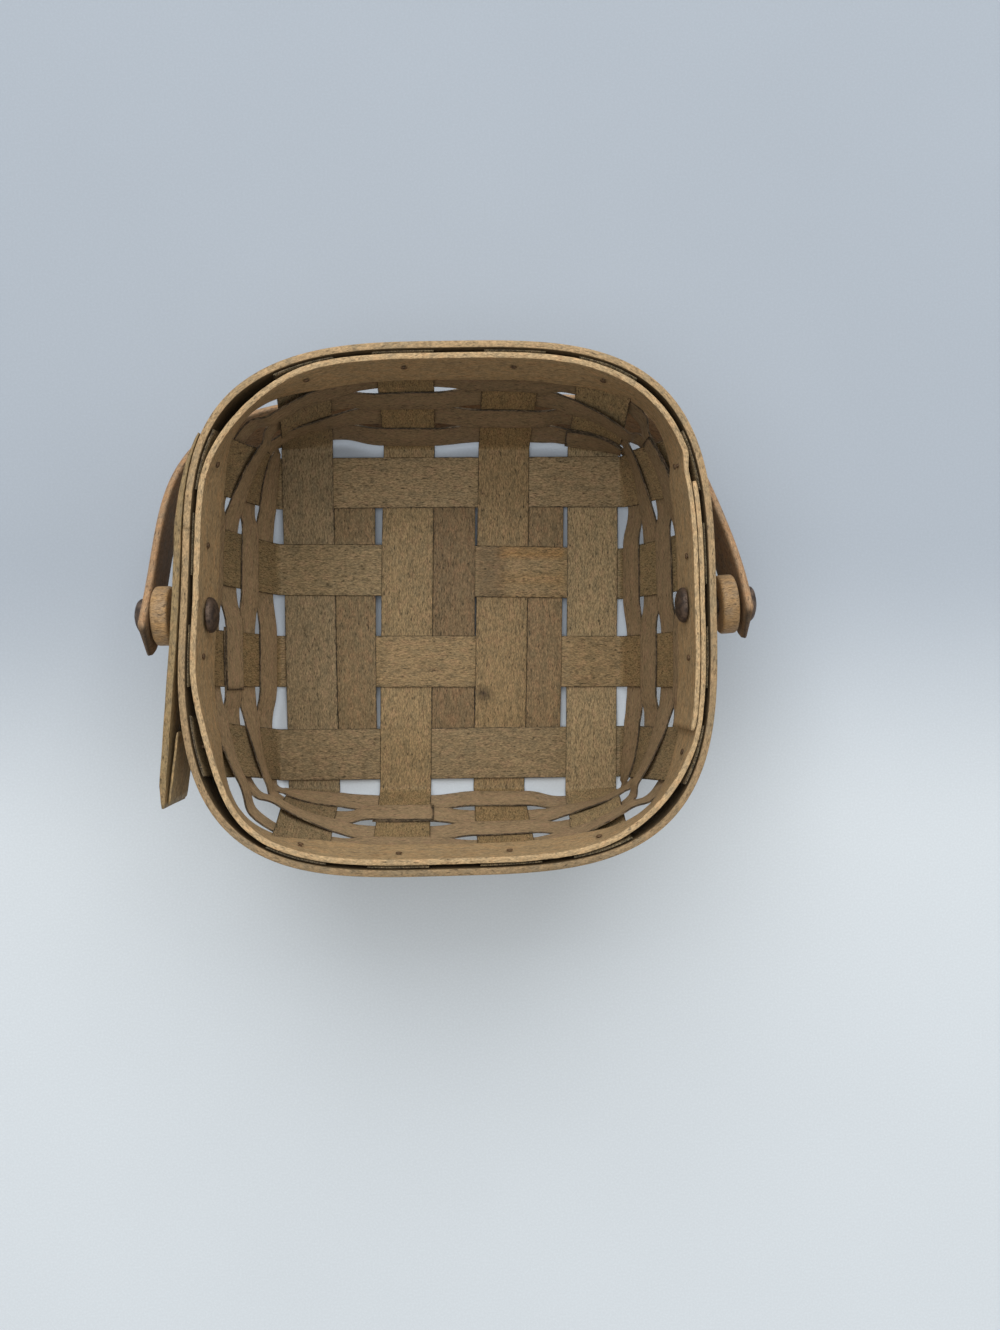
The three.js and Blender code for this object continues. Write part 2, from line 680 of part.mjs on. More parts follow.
// Edges and thickness of the lap along its length: scarfed down where it starts on
// the band, cut away on its outer side at its free end
function lapPlaces() {
  const places = [];
  const wallLength = (lapLeaveAngle - lapStartAngle) * rimHalfX;
  for (let i = 0; i < lapWallSteps; i += 1) {
    const t = i / lapWallSteps;
    const thickness = lerp(lapTipThickness, lapThickness, clamp(t * wallLength / lapScarfLength, 0, 1));
    const gap = lerp(splintGap, lapStandOff, smoothstep(t, 0, 1));
    const out = outerFaceOffset + gap + thickness / 2;
    const angle = lerp(lapStartAngle, lapLeaveAngle, t);
    places.push({ edges: [bandFoot, basketHeight].map((z) => wallPoint(angle, z, out)), thickness });
  }
  const chamferStart = 1 - lapEndChamfer / lapFreeLength;
  for (let i = 0; i <= lapFreeSteps; i += 1) {
    places.push({ edges: freeLapPlace(chamferStart * i / lapFreeSteps), thickness: lapThickness });
  }
  const inward = new THREE.Vector3((lapThickness - lapEndThickness) / 2, 0, 0);
  places.push({ edges: freeLapPlace(1).map((edge) => edge.add(inward)), thickness: lapEndThickness });
  return places;
}

function lapGeometry() {
  const places = lapPlaces();
  const strip = ribbon(places.map(({ edges }) => edges), (i) => places[i].thickness);
  return cut(strip, [rivetHoles()[0]]);
}

// Short tongue inside the free end of the lap, open at the north and closed against
// the lap at the south
function tongueGeometry() {
  const edgeInset = (bandHeight - tongueHeight) / 2 / bandHeight;
  const grid = [1, 1 / 2, 0].map((open) => {
    const [low, high] = freeLapPlace(1 - (tongueEndInset + open * tongueLength) / lapFreeLength);
    const inset = lapThickness / 2 + fitGap + tongueThickness / 2 + tongueSpread * open;
    const inward = new THREE.Vector3(inset, 0, 0);
    return [edgeInset, 1 - edgeInset].map((rise) => low.clone().lerp(high, rise).add(inward));
  });
  return ribbon(grid, () => tongueThickness);
}

// Handle, drawn level: X across, Y away from the rivets, Z the strip's width
function bowPoint(t) {
  const c = Math.cos(t);
  const s = Math.sin(t);
  const x = -Math.sign(c) * handleHalf * Math.abs(c) ** (2 / handleCornerPower);
  const y = handleReach * Math.abs(s) ** (2 / handleCornerPower);
  return new THREE.Vector2(x, y);
}

function handleGeometry() {
  const path = [new THREE.Vector2(-handleHalf, -handleTail)];
  for (let i = 0; i <= handleSteps; i += 1) path.push(bowPoint(Math.PI * i / handleSteps));
  path.push(new THREE.Vector2(handleHalf, -handleTail));
  const half = handleWidth / 2;
  const columns = [-half, -half + handleChamfer, half - handleChamfer, half];
  const grid = path.map((point) => columns.map((z) => new THREE.Vector3(point.x, point.y, z)));
  const edgeThickness = handleThickness - 2 * handleChamfer;
  const isEdge = (j) => j === 0 || j === columns.length - 1;
  const strip = ribbon(grid, (i, j) => (isEdge(j) ? edgeThickness : handleThickness));
  const holes = [-1, 1].map((side) => bar(
    new THREE.Vector3(side * (handleHalf - cutOverrun), 0, 0),
    new THREE.Vector3(side * (handleHalf + cutOverrun), 0, 0),
    rivetRadius + fitGap,
    roundSides,
  ));
  return cut(strip, holes);
}

// Domed head with its flat at height zero
function domeProfile(radius, height) {
  const curve = domeShares.map(([out, up]) => [out * radius, lerp(rivetRimHeight, height, up)]);
  return [[radius, 0], [radius, rivetRimHeight], ...curve, [0, height]];
}

// Where the flat of each inner cap lies, clear of the leaning band
function capFaceX(side) {
  const inset = side > 0 ? lapInnerFaceInset : innerFaceInset;
  const lean = bandLean / bandHeight * rivetHeadDiameter / 2;
  return wallHalf(floorHalfX, rimHalfX, pivotHeight) - inset - lean - splintGap / 2;
}

function rivetGeometry(side) {
  const headX = handleHalf + handleThickness / 2 + fitGap;
  const endX = capFaceX(side) - capBoreDepth + fitGap;
  const length = headX - endX;
  const radius = rivetHeadDiameter / 2;
  const dome = domeProfile(radius, rivetHeadHeight).map(([r, height]) => [r, height + length]);
  const profile = [[0, 0], [rivetRadius, 0], [rivetRadius, length], ...dome];
  const from = new THREE.Vector3(side * endX, 0, pivotHeight);
  return turnedPiece(profile, from, new THREE.Vector3(side, 0, 0), roundSides);
}

function rivetCapGeometry(side) {
  const bore = rivetRadius + fitGap;
  const dome = domeProfile(rivetHeadDiameter / 2, rivetHeadHeight);
  const profile = [[0, capBoreDepth], [bore, capBoreDepth], [bore, 0], ...dome];
  const from = new THREE.Vector3(side * capFaceX(side), 0, pivotHeight);
  return turnedPiece(profile, from, new THREE.Vector3(-side, 0, 0), roundSides);
}

function washerGeometry() {
  const bore = rivetRadius + washerBoreGap;
  const radius = washerDiameter / 2;
  const half = washerThickness / 2;
  const profile = [[bore, -half], [radius - washerChamfer, -half], [radius, -half + washerChamfer],
    [radius, half - washerChamfer], [radius - washerChamfer, half], [bore, half], [bore, -half]];
  return turnedPiece(profile, new THREE.Vector3(), new THREE.Vector3(1, 0, 0), roundSides);
}

// Colours
const colours = {
  upsplint: '#6f5b42',
  filler: '#65513a',
  weaver: '#705a42',
  innerBand: '#7f6747',
  outerBand: '#a08a68',
  lap: '#97805f',
  handle: '#a09074',
  washer: '#a6845e',
  rivet: '#4b3b2d',
  tack: '#3a2f25',
};

function wood(colour) {
  return new THREE.MeshStandardMaterial({ color: colour, roughness: 0.72, metalness: 0 });
}

function metal(colour) {
  return new THREE.MeshStandardMaterial({ color: colour, roughness: 0.42, metalness: 0.85 });
}

function piece(name, geometry, material) {
  const mesh = new THREE.Mesh(geometry, material);
  mesh.name = name;
  return mesh;
}

function handleGroup() {
  const group = new THREE.Group();
  group.position.z = pivotHeight;
  group.rotation.x = -handleDrop;
  group.add(piece('handle', handleGeometry(), wood(colours.handle)));
  return group;
}

function washers() {
  const middle = handleInnerX - fitGap - washerThickness / 2;
  const west = piece('west_handle_washer', washerGeometry(), wood(colours.washer));
  west.position.set(-middle, 0, pivotHeight);
  const east = piece('east_handle_washer', washerGeometry(), wood(colours.washer));
  east.position.set(middle - eastWasherShift, 0, pivotHeight);
  east.rotation.z = eastWasherTilt;
  return [west, east];
}

const basket = new THREE.Group();
for (const splint of splints) {
  basket.add(piece(splint.name, upsplintGeometry(splint), wood(colours.upsplint)));
}
for (const filler of floorFillers) {
  basket.add(piece(filler.name, fillerGeometry(filler), wood(colours.filler)));
}
for (let row = 0; row < weaverRowCount; row += 1) {
  basket.add(piece(`weaver_row_${row + 1}`, weaverGeometry(row), wood(colours.weaver)));
}
basket.add(piece('inner_band', innerBandGeometry(), wood(colours.innerBand)));
basket.add(piece('outer_band', outerBandGeometry(), wood(colours.outerBand)));
basket.add(piece('outer_band_lap', lapGeometry(), wood(colours.lap)));
basket.add(piece('outer_band_tongue', tongueGeometry(), wood(colours.lap)));
basket.add(handleGroup());
basket.add(...washers());
for (const [side, name] of [[-1, 'west'], [1, 'east']]) {
  basket.add(piece(`${name}_rivet`, rivetGeometry(side), metal(colours.rivet)));
  basket.add(piece(`${name}_rivet_cap`, rivetCapGeometry(side), metal(colours.rivet)));
}
legs.forEach((leg, index) => {
  basket.add(piece(`tack_${index + 1}`, tackGeometry(leg), metal(colours.tack)));
});

export default basket;
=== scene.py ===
# The looks of a square splint berry basket with one bentwood swing handle.
# Sizes are in millimetres until a mesh is made, which is in metres. +Z is up, the
# basket stands on z = 0, north is +Y and east is +X. Legs are counted from 0,
# anticlockwise from the south end of the east wall.
import math
from dataclasses import dataclass

import bpy
import numpy as np
from mathutils import Matrix, Vector


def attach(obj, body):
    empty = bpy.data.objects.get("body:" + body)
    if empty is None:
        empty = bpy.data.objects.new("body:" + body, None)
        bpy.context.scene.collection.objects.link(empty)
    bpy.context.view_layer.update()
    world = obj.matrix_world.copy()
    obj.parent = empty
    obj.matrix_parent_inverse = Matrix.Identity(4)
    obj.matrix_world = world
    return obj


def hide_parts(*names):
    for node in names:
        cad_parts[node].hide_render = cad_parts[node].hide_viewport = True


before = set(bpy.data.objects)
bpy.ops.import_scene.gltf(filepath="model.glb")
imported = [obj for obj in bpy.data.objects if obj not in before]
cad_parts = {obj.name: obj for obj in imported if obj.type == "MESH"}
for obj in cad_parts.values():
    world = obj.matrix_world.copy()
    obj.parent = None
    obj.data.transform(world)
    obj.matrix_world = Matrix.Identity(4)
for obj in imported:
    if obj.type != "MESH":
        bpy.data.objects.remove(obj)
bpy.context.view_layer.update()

MM = 0.001
FULL_TURN = 2 * math.pi

# Whole basket
RIM_WIDTH = 162.5
RIM_DEPTH = 160.8
BASKET_HEIGHT = 76
FLOOR_HALF = 62.3
BAND_LEAN = 1.1
RIM_TWIST = math.radians(1.3)
FLARE_POWER = 1.3
FLOOR_CORNER_POWER = 14
FLOOR_CORNER_FADE = 4
WEST_DENT = (166, 2.2, 34)  # of the bands: angle, depth and reach
WEST_DENT_FOOT = 44
RIM_POWERS = np.array([[3.6, 3.42], [3.2, 3.49]])  # south and north, each at the west and the east

# Splints
SPLINT_THICKNESS = 0.8
SPLINT_GAP = 0.3
LEAF_THICKNESS = 0.62  # as seen; the thickness above is the room that a splint has
LEAF_PITCH = 0.7
LOW_LEVEL_GAP = 0.1
UPSPLINT_WIDTH = 18.6
UPSPLINT_DROP = 0.6
LEG_LOW_CURVE_SHARE = 0.8  # how much of the curve of a corner the low uprights take
LEG_LOW_CURVE_HEIGHT = 18
FLOOR_BEND_RUN = 1.1
FLOOR_BEND_RISE = 1.9
FLOOR_BOW = 3.2  # how far the middle of the floor stands above its edge
FILLER_SIDE_GAP = 0.06
FILLER_END_INSET = 2.5
FILLER_WIDTH = 14  # that its columns are spaced for
WEAVER_WIDTH = 11.7
WEAVER_START = 3.7
WEAVER_ROWS = 4
WEAVER_EDGE_MARGIN = 1.2
SPAN_ROUND_SHARES = [0.45, 0.6, 0.6, 0.55]  # for the rows, bottom first
CORNER_TWIST_SHARE = 0.92  # how far a weaver turns upright at a corner
CROSSING_EASE = 1.2
CROSSING_CURVE_SHARE = 0.1

# Bands round the rim
BAND_HEIGHT = 22
BAND_FOOT = BASKET_HEIGHT - BAND_HEIGHT
INNER_BAND_THICKNESS = 1.8
INNER_LAP_THICKNESS = 1.45
INNER_LAP_GAP = 0.25
INNER_LAP_EASE = 9
INNER_LAP_START = math.radians(-27.2)
INNER_LAP_END = math.radians(25.8)
CORNER_STAND_OFFS = [(45, 0.4, 19), (135, 2.2, 19), (211, 2.4, 21), (316, 1.5, 19)]
CORNER_FLARES = [(45, 2.2, 19), (135, 2.7, 19), (225, 3, 19), (315, 1.9, 19)]
INNER_FOOT_PRESS = 1.25  # how far the foot of the inner band closes up at a corner
OUTER_BAND_THICKNESS = 2.1
OUTER_BAND_JOINT = math.radians(162)
LAP_THICKNESS = 2.1
LAP_TIP_THICKNESS = 0.6
LAP_SCARF_LENGTH = 24
LAP_START = math.radians(143.3)
LAP_LEAVE = math.radians(184)
LAP_STAND_OFF = 0.6
LAP_SPRING = 4.8
LAP_FREE_LENGTH = 52.5
LAP_END_THICKNESS = 1
LAP_END_CHAMFER = 7
TONGUE_LENGTH = 21.5
TONGUE_HEIGHT = 18
TONGUE_THICKNESS = 0.7
TONGUE_SPREAD = 1.1
TONGUE_END_INSET = 1

# Handle
PIVOT_HEIGHT = BASKET_HEIGHT - 11
HANDLE_REACH = 95
HANDLE_WIDTH = 15.5
HANDLE_THICKNESS = 2.6
WEST_TAIL = 10.6
EAST_TAIL = 8.8
HANDLE_TAIL_ROUND = 1.6
WEST_CORNER_POWER = 4  # shape of each half of the bow, where 2 is an ellipse
EAST_CORNER_POWER = 4.4
HANDLE_DROP = math.radians(38)
CROWN_INSET = 1.3  # how far the visible crown lies inside the even bow
TAIL_CUT_LENGTH = 4.5  # of the cut at the lower inner corner of each tail
TAIL_CUT_SHARE = 0.55
EAST_LEG_TWIST = 1.2  # how far the lower edge of the leg turns in
EAST_LEG_TWIST_START_SHARE = 0.8  # of the way from the middle of the bow to its leg
WEST_LEG_INSET = 1.75  # how far the visible leg lies inside the even bow, at its pivot
EAST_LEG_INSET = 1.4
EAST_LEG_LEAN = 4.6
LEG_LEAN_REACH = 60

# Washers, rivets and tacks
WASHER_DIAMETER = 18.3
WASHER_THICKNESS = 6.6  # the room that a washer has
WASHER_ROOM = 1.1
WASHER_SEEN_THICKNESS = 5.1
WASHER_CORNER = [(0.9, 0), (0.45, 0.12), (0.12, 0.45), (0, 0.9)]  # in from its rim and its face
WASHER_BORE_GAP = 0.5
WASHER_SIDES = 64
EAST_WASHER_TILT = math.radians(3.5)
EAST_WASHER_SHIFT = 1.25
RIVET_DIAMETER = 4.4
RIVET_HEAD_DIAMETER = 11
RIVET_SIDES = 48
RIVET_DENT = 0.06
DENT_LENGTHS = (9, 7)
WEST_RIVET_HEAD_HEIGHT = 3.2
EAST_RIVET_HEAD_HEIGHT = 2.6
RIVET_CAP_HEIGHT = 3
RIVET_RIM_HEIGHT = 0.7
RIVET_RIM_ROUND = 0.15
CAP_BORE_DEPTH = 1.2
FIT_GAP = 0.3
TACK_HEIGHT = BASKET_HEIGHT - 7.5
TACK_HEAD_DIAMETER = 2
TACK_HEAD_HEIGHT = 0.5
TACK_HEAD_SHARES = [(0.6, 0.06), (0.9, 0.3), (1, 0.6), (0.97, 1)]  # of its radius and its height
TACK_SHANK_DIAMETER = 1.1
TACK_BITE = 1.2
TACK_SIDES = 14

# Worked-out sizes
SPLINT_FACE = SPLINT_THICKNESS / 2 + SPLINT_GAP
RIM_STACK = OUTER_BAND_THICKNESS + SPLINT_FACE
RIM_HALF_X = RIM_WIDTH / 2 - RIM_STACK
RIM_HALF_Y = RIM_DEPTH / 2 - RIM_STACK
LOW_LEVEL = LEAF_THICKNESS / 2 + LOW_LEVEL_GAP
HIGH_LEVEL = LOW_LEVEL + LEAF_PITCH
WEAVER_PITCH = (BAND_FOOT - WEAVER_START) / WEAVER_ROWS
LEG_CURVE_START = BAND_FOOT - WEAVER_PITCH
HALF_SPLINT = UPSPLINT_WIDTH / 2
FLOOR_RUN = FLOOR_HALF - FLOOR_BEND_RUN
INNER_FACE = SPLINT_FACE + INNER_BAND_THICKNESS
LAP_INNER_FACE = SPLINT_FACE + INNER_LAP_GAP + 2 * INNER_LAP_THICKNESS
INNER_BAND_OUT = -(SPLINT_FACE + INNER_BAND_THICKNESS / 2)
INNER_LAP_OUTER_OUT = -(SPLINT_FACE + INNER_LAP_THICKNESS / 2)
INNER_LAP_INNER_OUT = INNER_LAP_OUTER_OUT - INNER_LAP_THICKNESS - INNER_LAP_GAP

# Places of the upsplints as shares of half the floor and of half the rim, with the
# slope that each one has on the floor
LENGTHWISE_SHARES = [
    (-0.818, -0.53, -0.6, -0.021),
    (-0.255, -0.15, -0.212, 0.0105),
    (0.296, 0.28, 0.222, 0.0147),
    (0.828, 0.637, 0.576, 0.007),
]
CROSSWISE_SHARES = [
    (0.797, 0.556, 0.593, 0.01),
    (0.276, 0.193, 0.269, -0.0095),
    (-0.25, -0.212, -0.162, 0),
    (-0.787, -0.591, -0.509, 0.008),
]
FILLER_OVER_CROSS = [2, 1, 2]
FILLER_EAST_EDGES = [(-27.6, -26.7), (9, 8.4), (41.5, 39.5)]  # at the north and the south
WEAVER_LAP_LEGS = [4, 13, 10, 3]

# Steps of the meshes, and how the edges of strips are rounded: distances in from an
# edge, and the shares of the full thickness there
STEP = 1.6
COLUMN_STEP = 2.2
BAND_COLUMN_STEP = 2.4
RIM_STEPS = int(4 * (RIM_HALF_X + RIM_HALF_Y) / STEP)
BEND_STEPS = 6
SPAN_STEPS = 7
CORNER_STEPS = 26
DOME_STEPS = 8
BOW_STEPS = 20000
DIRECTION_PROBE = 0.5
EDGE_DEPTHS = np.array([0, 0.06, 0.18, 0.4])
EDGE_SHARES = np.array([0.62, 0.86, 0.97, 1])
BAND_DEPTHS = np.array([0, 0.05, 0.15, 0.35])
BAND_SHARES = np.array([0.84, 0.94, 0.985, 1])
HANDLE_EDGE_DEPTHS = np.array([0, 0.15, 0.45, 1.1])
HANDLE_EDGE_SHARES = np.array([0.3, 0.62, 0.88, 1])
WARP = 0.06
WARP_LENGTHS = (34, 21, 11)  # along, across and along again
SMOOTH_ANGLE = math.radians(40)
WOOD_RELIEF = 0.05
METAL_RELIEF = 0.12

# Seeds of the random waves of each kind of piece
SEEDS = {
    "upsplint": 11,
    "filler": 31,
    "weaver": 41,
    "inner_band": 51,
    "outer_band": 53,
    "lap": 55,
    "tongue": 57,
    "handle": 61,
    "west_washer": 71,
    "east_washer": 73,
    "rivet_pin": 81,
    "rivet_burr": 85,
    "tack": 90,
    "streaks": 5,
}

# Tints that multiply a wood's colour
SPLINT_TINTS = [  # lengthwise ones first
    (0.9, 0.92, 0.98),
    (0.98, 0.96, 0.93),
    (0.94, 0.9, 0.85),
    (1.12, 1.14, 1.18),
    (1.05, 1.05, 1.09),
    (0.95, 0.96, 0.97),
    (0.98, 0.95, 0.92),
    (0.9, 0.91, 0.95),
]
FILLER_TINTS = [(0.97, 0.97, 0.92), (0.86, 0.83, 0.78), (1.02, 1, 0.95)]
GREY_TOP = np.array([1.1, 1.17, 1.28])
GREY_TOP_LENGTH = 3.5
DARK_START = (8, 11)  # patches of crosswise_upsplint_2: where each starts and is whole,
DARK_END = (22, 18)  # and where it ends and is still whole
DARK_TINT = np.array([0.76, 0.72, 0.7])
GOLDEN_START = (16, 20)
GOLDEN_END = (43, 40)
GOLDEN_STREAKS = (0.2, 1.8)
GOLDEN_TINT = np.array([1.12, 1, 0.86])
STAIN_PLACE = np.array([11.3, -27.6, 4])
STAIN_REACH = 4.2
STAIN_SHADE = 0.15
WALL_PAINTED_LIGHT_REACH = (40, 60)  # from the middle, where a weaver's painted light and shade starts and is whole
# painted light in the west and south walls, painted shade in the north one
WEST_PAINTED_LIGHT = 0.2
SOUTH_PAINTED_LIGHT = 0.14
NORTH_PAINTED_SHADE = -0.14
BETWEEN_BANDS_PAINTED_SHADE = 0.4  # painted shade of the faces between the bands
OUTER_TOP_PAINTED_SHADES = (0.92, 0.66)  # painted shade of the outer band's top edge, in the north and the south
# painted shade over the whole lap
LAP_PAINTED_SHADE = 0.8
# painted shade over the whole east washer
EAST_WASHER_PAINTED_SHADE = 0.82
# painted shade of the end faces of the handle's tails
TAIL_END_PAINTED_SHADE = 0.4
# painted shade of the handle's inner face
HANDLE_INNER_PAINTED_SHADE = 0.5
FACE_PAINTED_SHADE_REACH = 0.35  # from an edge to where a face has its full painted shade
EDGE_TONE_REACH = 0.8
SOLID_EDGE_TONE_REACH = 0.9
GRAIN_STEPS = (131.7, 43.1)  # between the wood of one strip and the next
SOLID_GRAIN_STEP = 17.3

# Camera, lamps and ground
EYE = np.array([5.4, -17.9, 422])
AIM_EAST = math.radians(1.703)  # from straight down
AIM_NORTH = math.radians(0.141)
FOCAL_PIXELS = 1152
PHOTO_HEIGHT = 1330
SENSOR_SIZE = 36
NEAR_CLIP = 10
LAMPS = [  # width, height and distance in metres, azimuth and elevation in degrees, watts
    ("north_window", 3.2, 2.2, 2.6, 0, 42, 52),
    ("overhead", 3, 3, 3, -90, 78, 41),
    ("east_fill", 2.2, 2.2, 2.6, 90, 45, 10),
]
WORLD_COLOUR = (0.97, 0.985, 1, 1)
WORLD_LIGHT = 0.24
WORLD_SEEN = 0.5
GROUND_HALF = 1500
GROUND_SHADE_SOUTH = -90  # between here and the next place the ground darkens to the north
GROUND_SHADE_NORTH = 30


def lerp(a, b, t):
    return a + (b - a) * t


def smooth(t):
    t = np.clip(t, 0, 1)
    return t * t * (3 - 2 * t)


def rise(value, start, end):
    """0 up to start, 1 from end on, and a smooth curve between them."""
    return smooth((value - start) / (end - start))


def spaced(start, end):
    """Even places from start to end, about a step of the meshes apart."""
    return np.linspace(start, end, int((end - start) / STEP))


def unit(vectors):
    return vectors / np.maximum(np.linalg.norm(vectors, axis=-1, keepdims=True), 1e-12)


def curve(handles, t):
    """Points and directions of the curve that a list of handles draws."""
    while len(handles) > 2:
        handles = [lerp(a, b, t) for a, b in zip(handles, handles[1:])]
    return lerp(*handles, t), unit(handles[1] - handles[0])


def lengths_along(points):
    """Length of a line of points up to each of them."""
    return np.concatenate([[0], np.cumsum(np.linalg.norm(np.diff(points, axis=0), axis=-1))])


def waves(places, seed, length, count=5):
    """A smooth uneven curve of about unit height over places."""
    random = np.random.default_rng(seed)
    lengths = length * random.uniform(0.45, 1.7, count)
    phases = random.uniform(0, FULL_TURN, count)
    total = sum(np.sin(FULL_TURN * places / size + phase) for size, phase in zip(lengths, phases))
    return total / math.sqrt(count)


# The wall of the basket
def wall_half(rim_half, z):
    """Half width of the middle of the wall at height z."""
    foot_half = rim_half - BAND_LEAN
    share = 1 - (1 - np.clip(z, 0, BAND_FOOT) / BAND_FOOT) ** FLARE_POWER
    low = FLOOR_HALF + (foot_half - FLOOR_HALF) * share
    high = foot_half + BAND_LEAN * (z - BAND_FOOT) / BAND_HEIGHT
    return np.where(z > BAND_FOOT, high, low)


def corner_power(x, y, z):
    rim_power = RIM_POWERS[np.int_(y >= 0), np.int_(x >= 0)]
    fade = np.maximum(1 - z / BAND_FOOT, 0) ** FLOOR_CORNER_FADE
    return rim_power + (FLOOR_CORNER_POWER - rim_power) * fade


def corner_sum(angles, corners):
    """Adds up smooth hills round the rim, each with its angle, height and reach."""
    total = 0 * angles
    for corner, amount, reach in corners:
        away = np.abs((angles - math.radians(corner) + math.pi) % FULL_TURN - math.pi)
        total = total + amount * smooth(1 - away / math.radians(reach))
    return total


def wall_dent(angle, z):
    """How far the rim is pressed in near the west pivot."""
    return corner_sum(angle, [WEST_DENT]) * rise(z, WEST_DENT_FOOT, BAND_FOOT)


def turned(x, y, z):
    """The floor weave is turned against the rim, and the wall turns evenly between them."""
    x, y, z = np.broadcast_arrays(x, y, z)
    turn = -RIM_TWIST * (1 - z / BASKET_HEIGHT)
    c = np.cos(turn)
    s = np.sin(turn)
    return np.stack([c * x - s * y, s * x + c * y, z], -1)


def wall_point(angle, z, out):
    """Point of the wall in a plan direction, moved out from its middle."""
    angle, z, out = np.broadcast_arrays(angle, z, out)
    half_x = wall_half(RIM_HALF_X, z)
    half_y = wall_half(RIM_HALF_Y, z)
    c = np.cos(angle)
    s = np.sin(angle)
    power = corner_power(c, s, z)
    radius = (np.abs(c / half_x) ** power + np.abs(s / half_y) ** power) ** (-1 / power)
    normal_x = np.sign(c) * np.abs(radius * c / half_x) ** (power - 1) / half_x
    normal_y = np.sign(s) * np.abs(radius * s / half_y) ** (power - 1) / half_y
    size = np.hypot(normal_x, normal_y)
    out = out - wall_dent(angle, z)
    return turned(radius * c + out * normal_x / size, radius * s + out * normal_y / size, z)


# Upsplints
@dataclass
class Splint:
    index: int
    lengthwise: bool
    shares: tuple

    @property
    def name(self):
        kind = "lengthwise" if self.lengthwise else "crosswise"
        return f"{kind}_upsplint_{self.index + 1}"

    def floor_place(self, along=0):
        return self.shares[0] * FLOOR_HALF + self.shares[3] * along

    def wall_place(self, side, z):
        rim_half = RIM_HALF_X if self.lengthwise else RIM_HALF_Y
        rim_place = (self.shares[1] if side > 0 else self.shares[2]) * rim_half
        return lerp(self.floor_place(side * FLOOR_HALF), rim_place, z / BASKET_HEIGHT)


LENGTHWISE = [Splint(i, True, shares) for i, shares in enumerate(LENGTHWISE_SHARES)]
CROSSWISE = [Splint(i, False, shares) for i, shares in enumerate(CROSSWISE_SHARES)]
LEGS = [(splint, 1) for splint in CROSSWISE[::-1] + LENGTHWISE[::-1]]
LEGS += [(splint, -1) for splint in CROSSWISE + LENGTHWISE]
LEGS_PER_WALL = len(LEGS) // 4


def leg_plan(splint, side, place, z):
    """Plan point of a leg at one place along its wall."""
    halves = [wall_half(RIM_HALF_X, z), wall_half(RIM_HALF_Y, z)]
    along_half, out_half = halves if splint.lengthwise else halves[::-1]
    power = corner_power(place, side, z) if splint.lengthwise else corner_power(side, place, z)
    out = side * out_half * np.maximum(1 - np.abs(place / along_half) ** power, 0) ** (1 / power)
    if splint.lengthwise:
        return np.stack([place + 0 * out, out], -1)
    out = out - side * wall_dent(np.arctan2(place, out), z)
    return np.stack([out, place + 0 * out], -1)


def leg_row(splint, side, z, across):
    """Plan points of a leg at heights z and distances across from its middle. A leg is
    flat across at the floor, and takes the whole curve of the wall between the bands."""
    z, across = np.broadcast_arrays(z, across)
    place = splint.wall_place(side, z)
    probe = HALF_SPLINT * 0.1
    slope = unit(leg_plan(splint, side, place + probe, z) - leg_plan(splint, side, place - probe, z))
    run = np.abs(slope[..., 0] if splint.lengthwise else slope[..., 1])
    flat = leg_plan(splint, side, place, z) + slope * across[..., None]
    curved = leg_plan(splint, side, place + across * run, z)
    low_share = LEG_LOW_CURVE_SHARE * np.clip(z / LEG_LOW_CURVE_HEIGHT, 0, 1)
    high_share = np.clip((z - LEG_CURVE_START) / (BAND_FOOT - LEG_CURVE_START), 0, 1)
    return lerp(flat, curved, lerp(low_share, 1, high_share)[..., None])


def level_of(is_over):
    return HIGH_LEVEL if is_over else LOW_LEVEL


def crossing(middle, is_over):
    """Stretch of a splint that an upsplint crosses, with the splint's own level there."""
    return middle - HALF_SPLINT, middle + HALF_SPLINT, level_of(is_over)


def filler_edges(index, y):
    """West and east edge of a floor filler at places y along it."""
    west = LENGTHWISE[index].floor_place(y) + HALF_SPLINT + FILLER_SIDE_GAP
    north, south = FILLER_EAST_EDGES[index]
    return west, lerp(south, north, (y + FLOOR_HALF) / (2 * FLOOR_HALF))


def floor_crossings(splint):
    """Stretches of an upsplint that other splints cross, with its own level there."""
    stretches = []
    for other in CROSSWISE if splint.lengthwise else LENGTHWISE:
        lengthwise_over = (splint.index + other.index) % 2 == 0
        middle = other.floor_place(splint.floor_place())
        stretches.append(crossing(middle, lengthwise_over == splint.lengthwise))
    if not splint.lengthwise:
        for index, over in enumerate(FILLER_OVER_CROSS):
            west, east = filler_edges(index, splint.floor_place())
            stretches.append((west, east, level_of(over != splint.index)))
    return sorted(stretches)


def level_along(places, stretches):
    """Height of the middle of a splint on the floor, easing between its crossings."""
    levels = np.full(places.shape, float(stretches[0][2]))
    for (_, before_end, before), (after_start, _, after) in zip(stretches, stretches[1:]):
        start = before_end - CROSSING_EASE
        share = rise(places, start, after_start + CROSSING_EASE)
        levels = np.where(places >= start, lerp(before, after, share), levels)
    return levels


def on_floor(x, y, level):
    """Point of the floor weave, which bows up in the middle."""
    x, y = np.broadcast_arrays(x, y)
    reach = np.clip(np.stack([np.abs(x), np.abs(y)]) / FLOOR_HALF, 0, 1)
    bow = FLOOR_BOW * np.prod(1 - smooth(reach**2), axis=0)
    return turned(x, y, level + bow)


def floor_point(splint, along, across, level):
    """Point of an upsplint on the floor, across anticlockwise of its direction."""
    place = splint.floor_place(along)
    if splint.lengthwise:
        return on_floor(place - across, along + 0 * across, level)
    return on_floor(along + 0 * across, place + across, level)


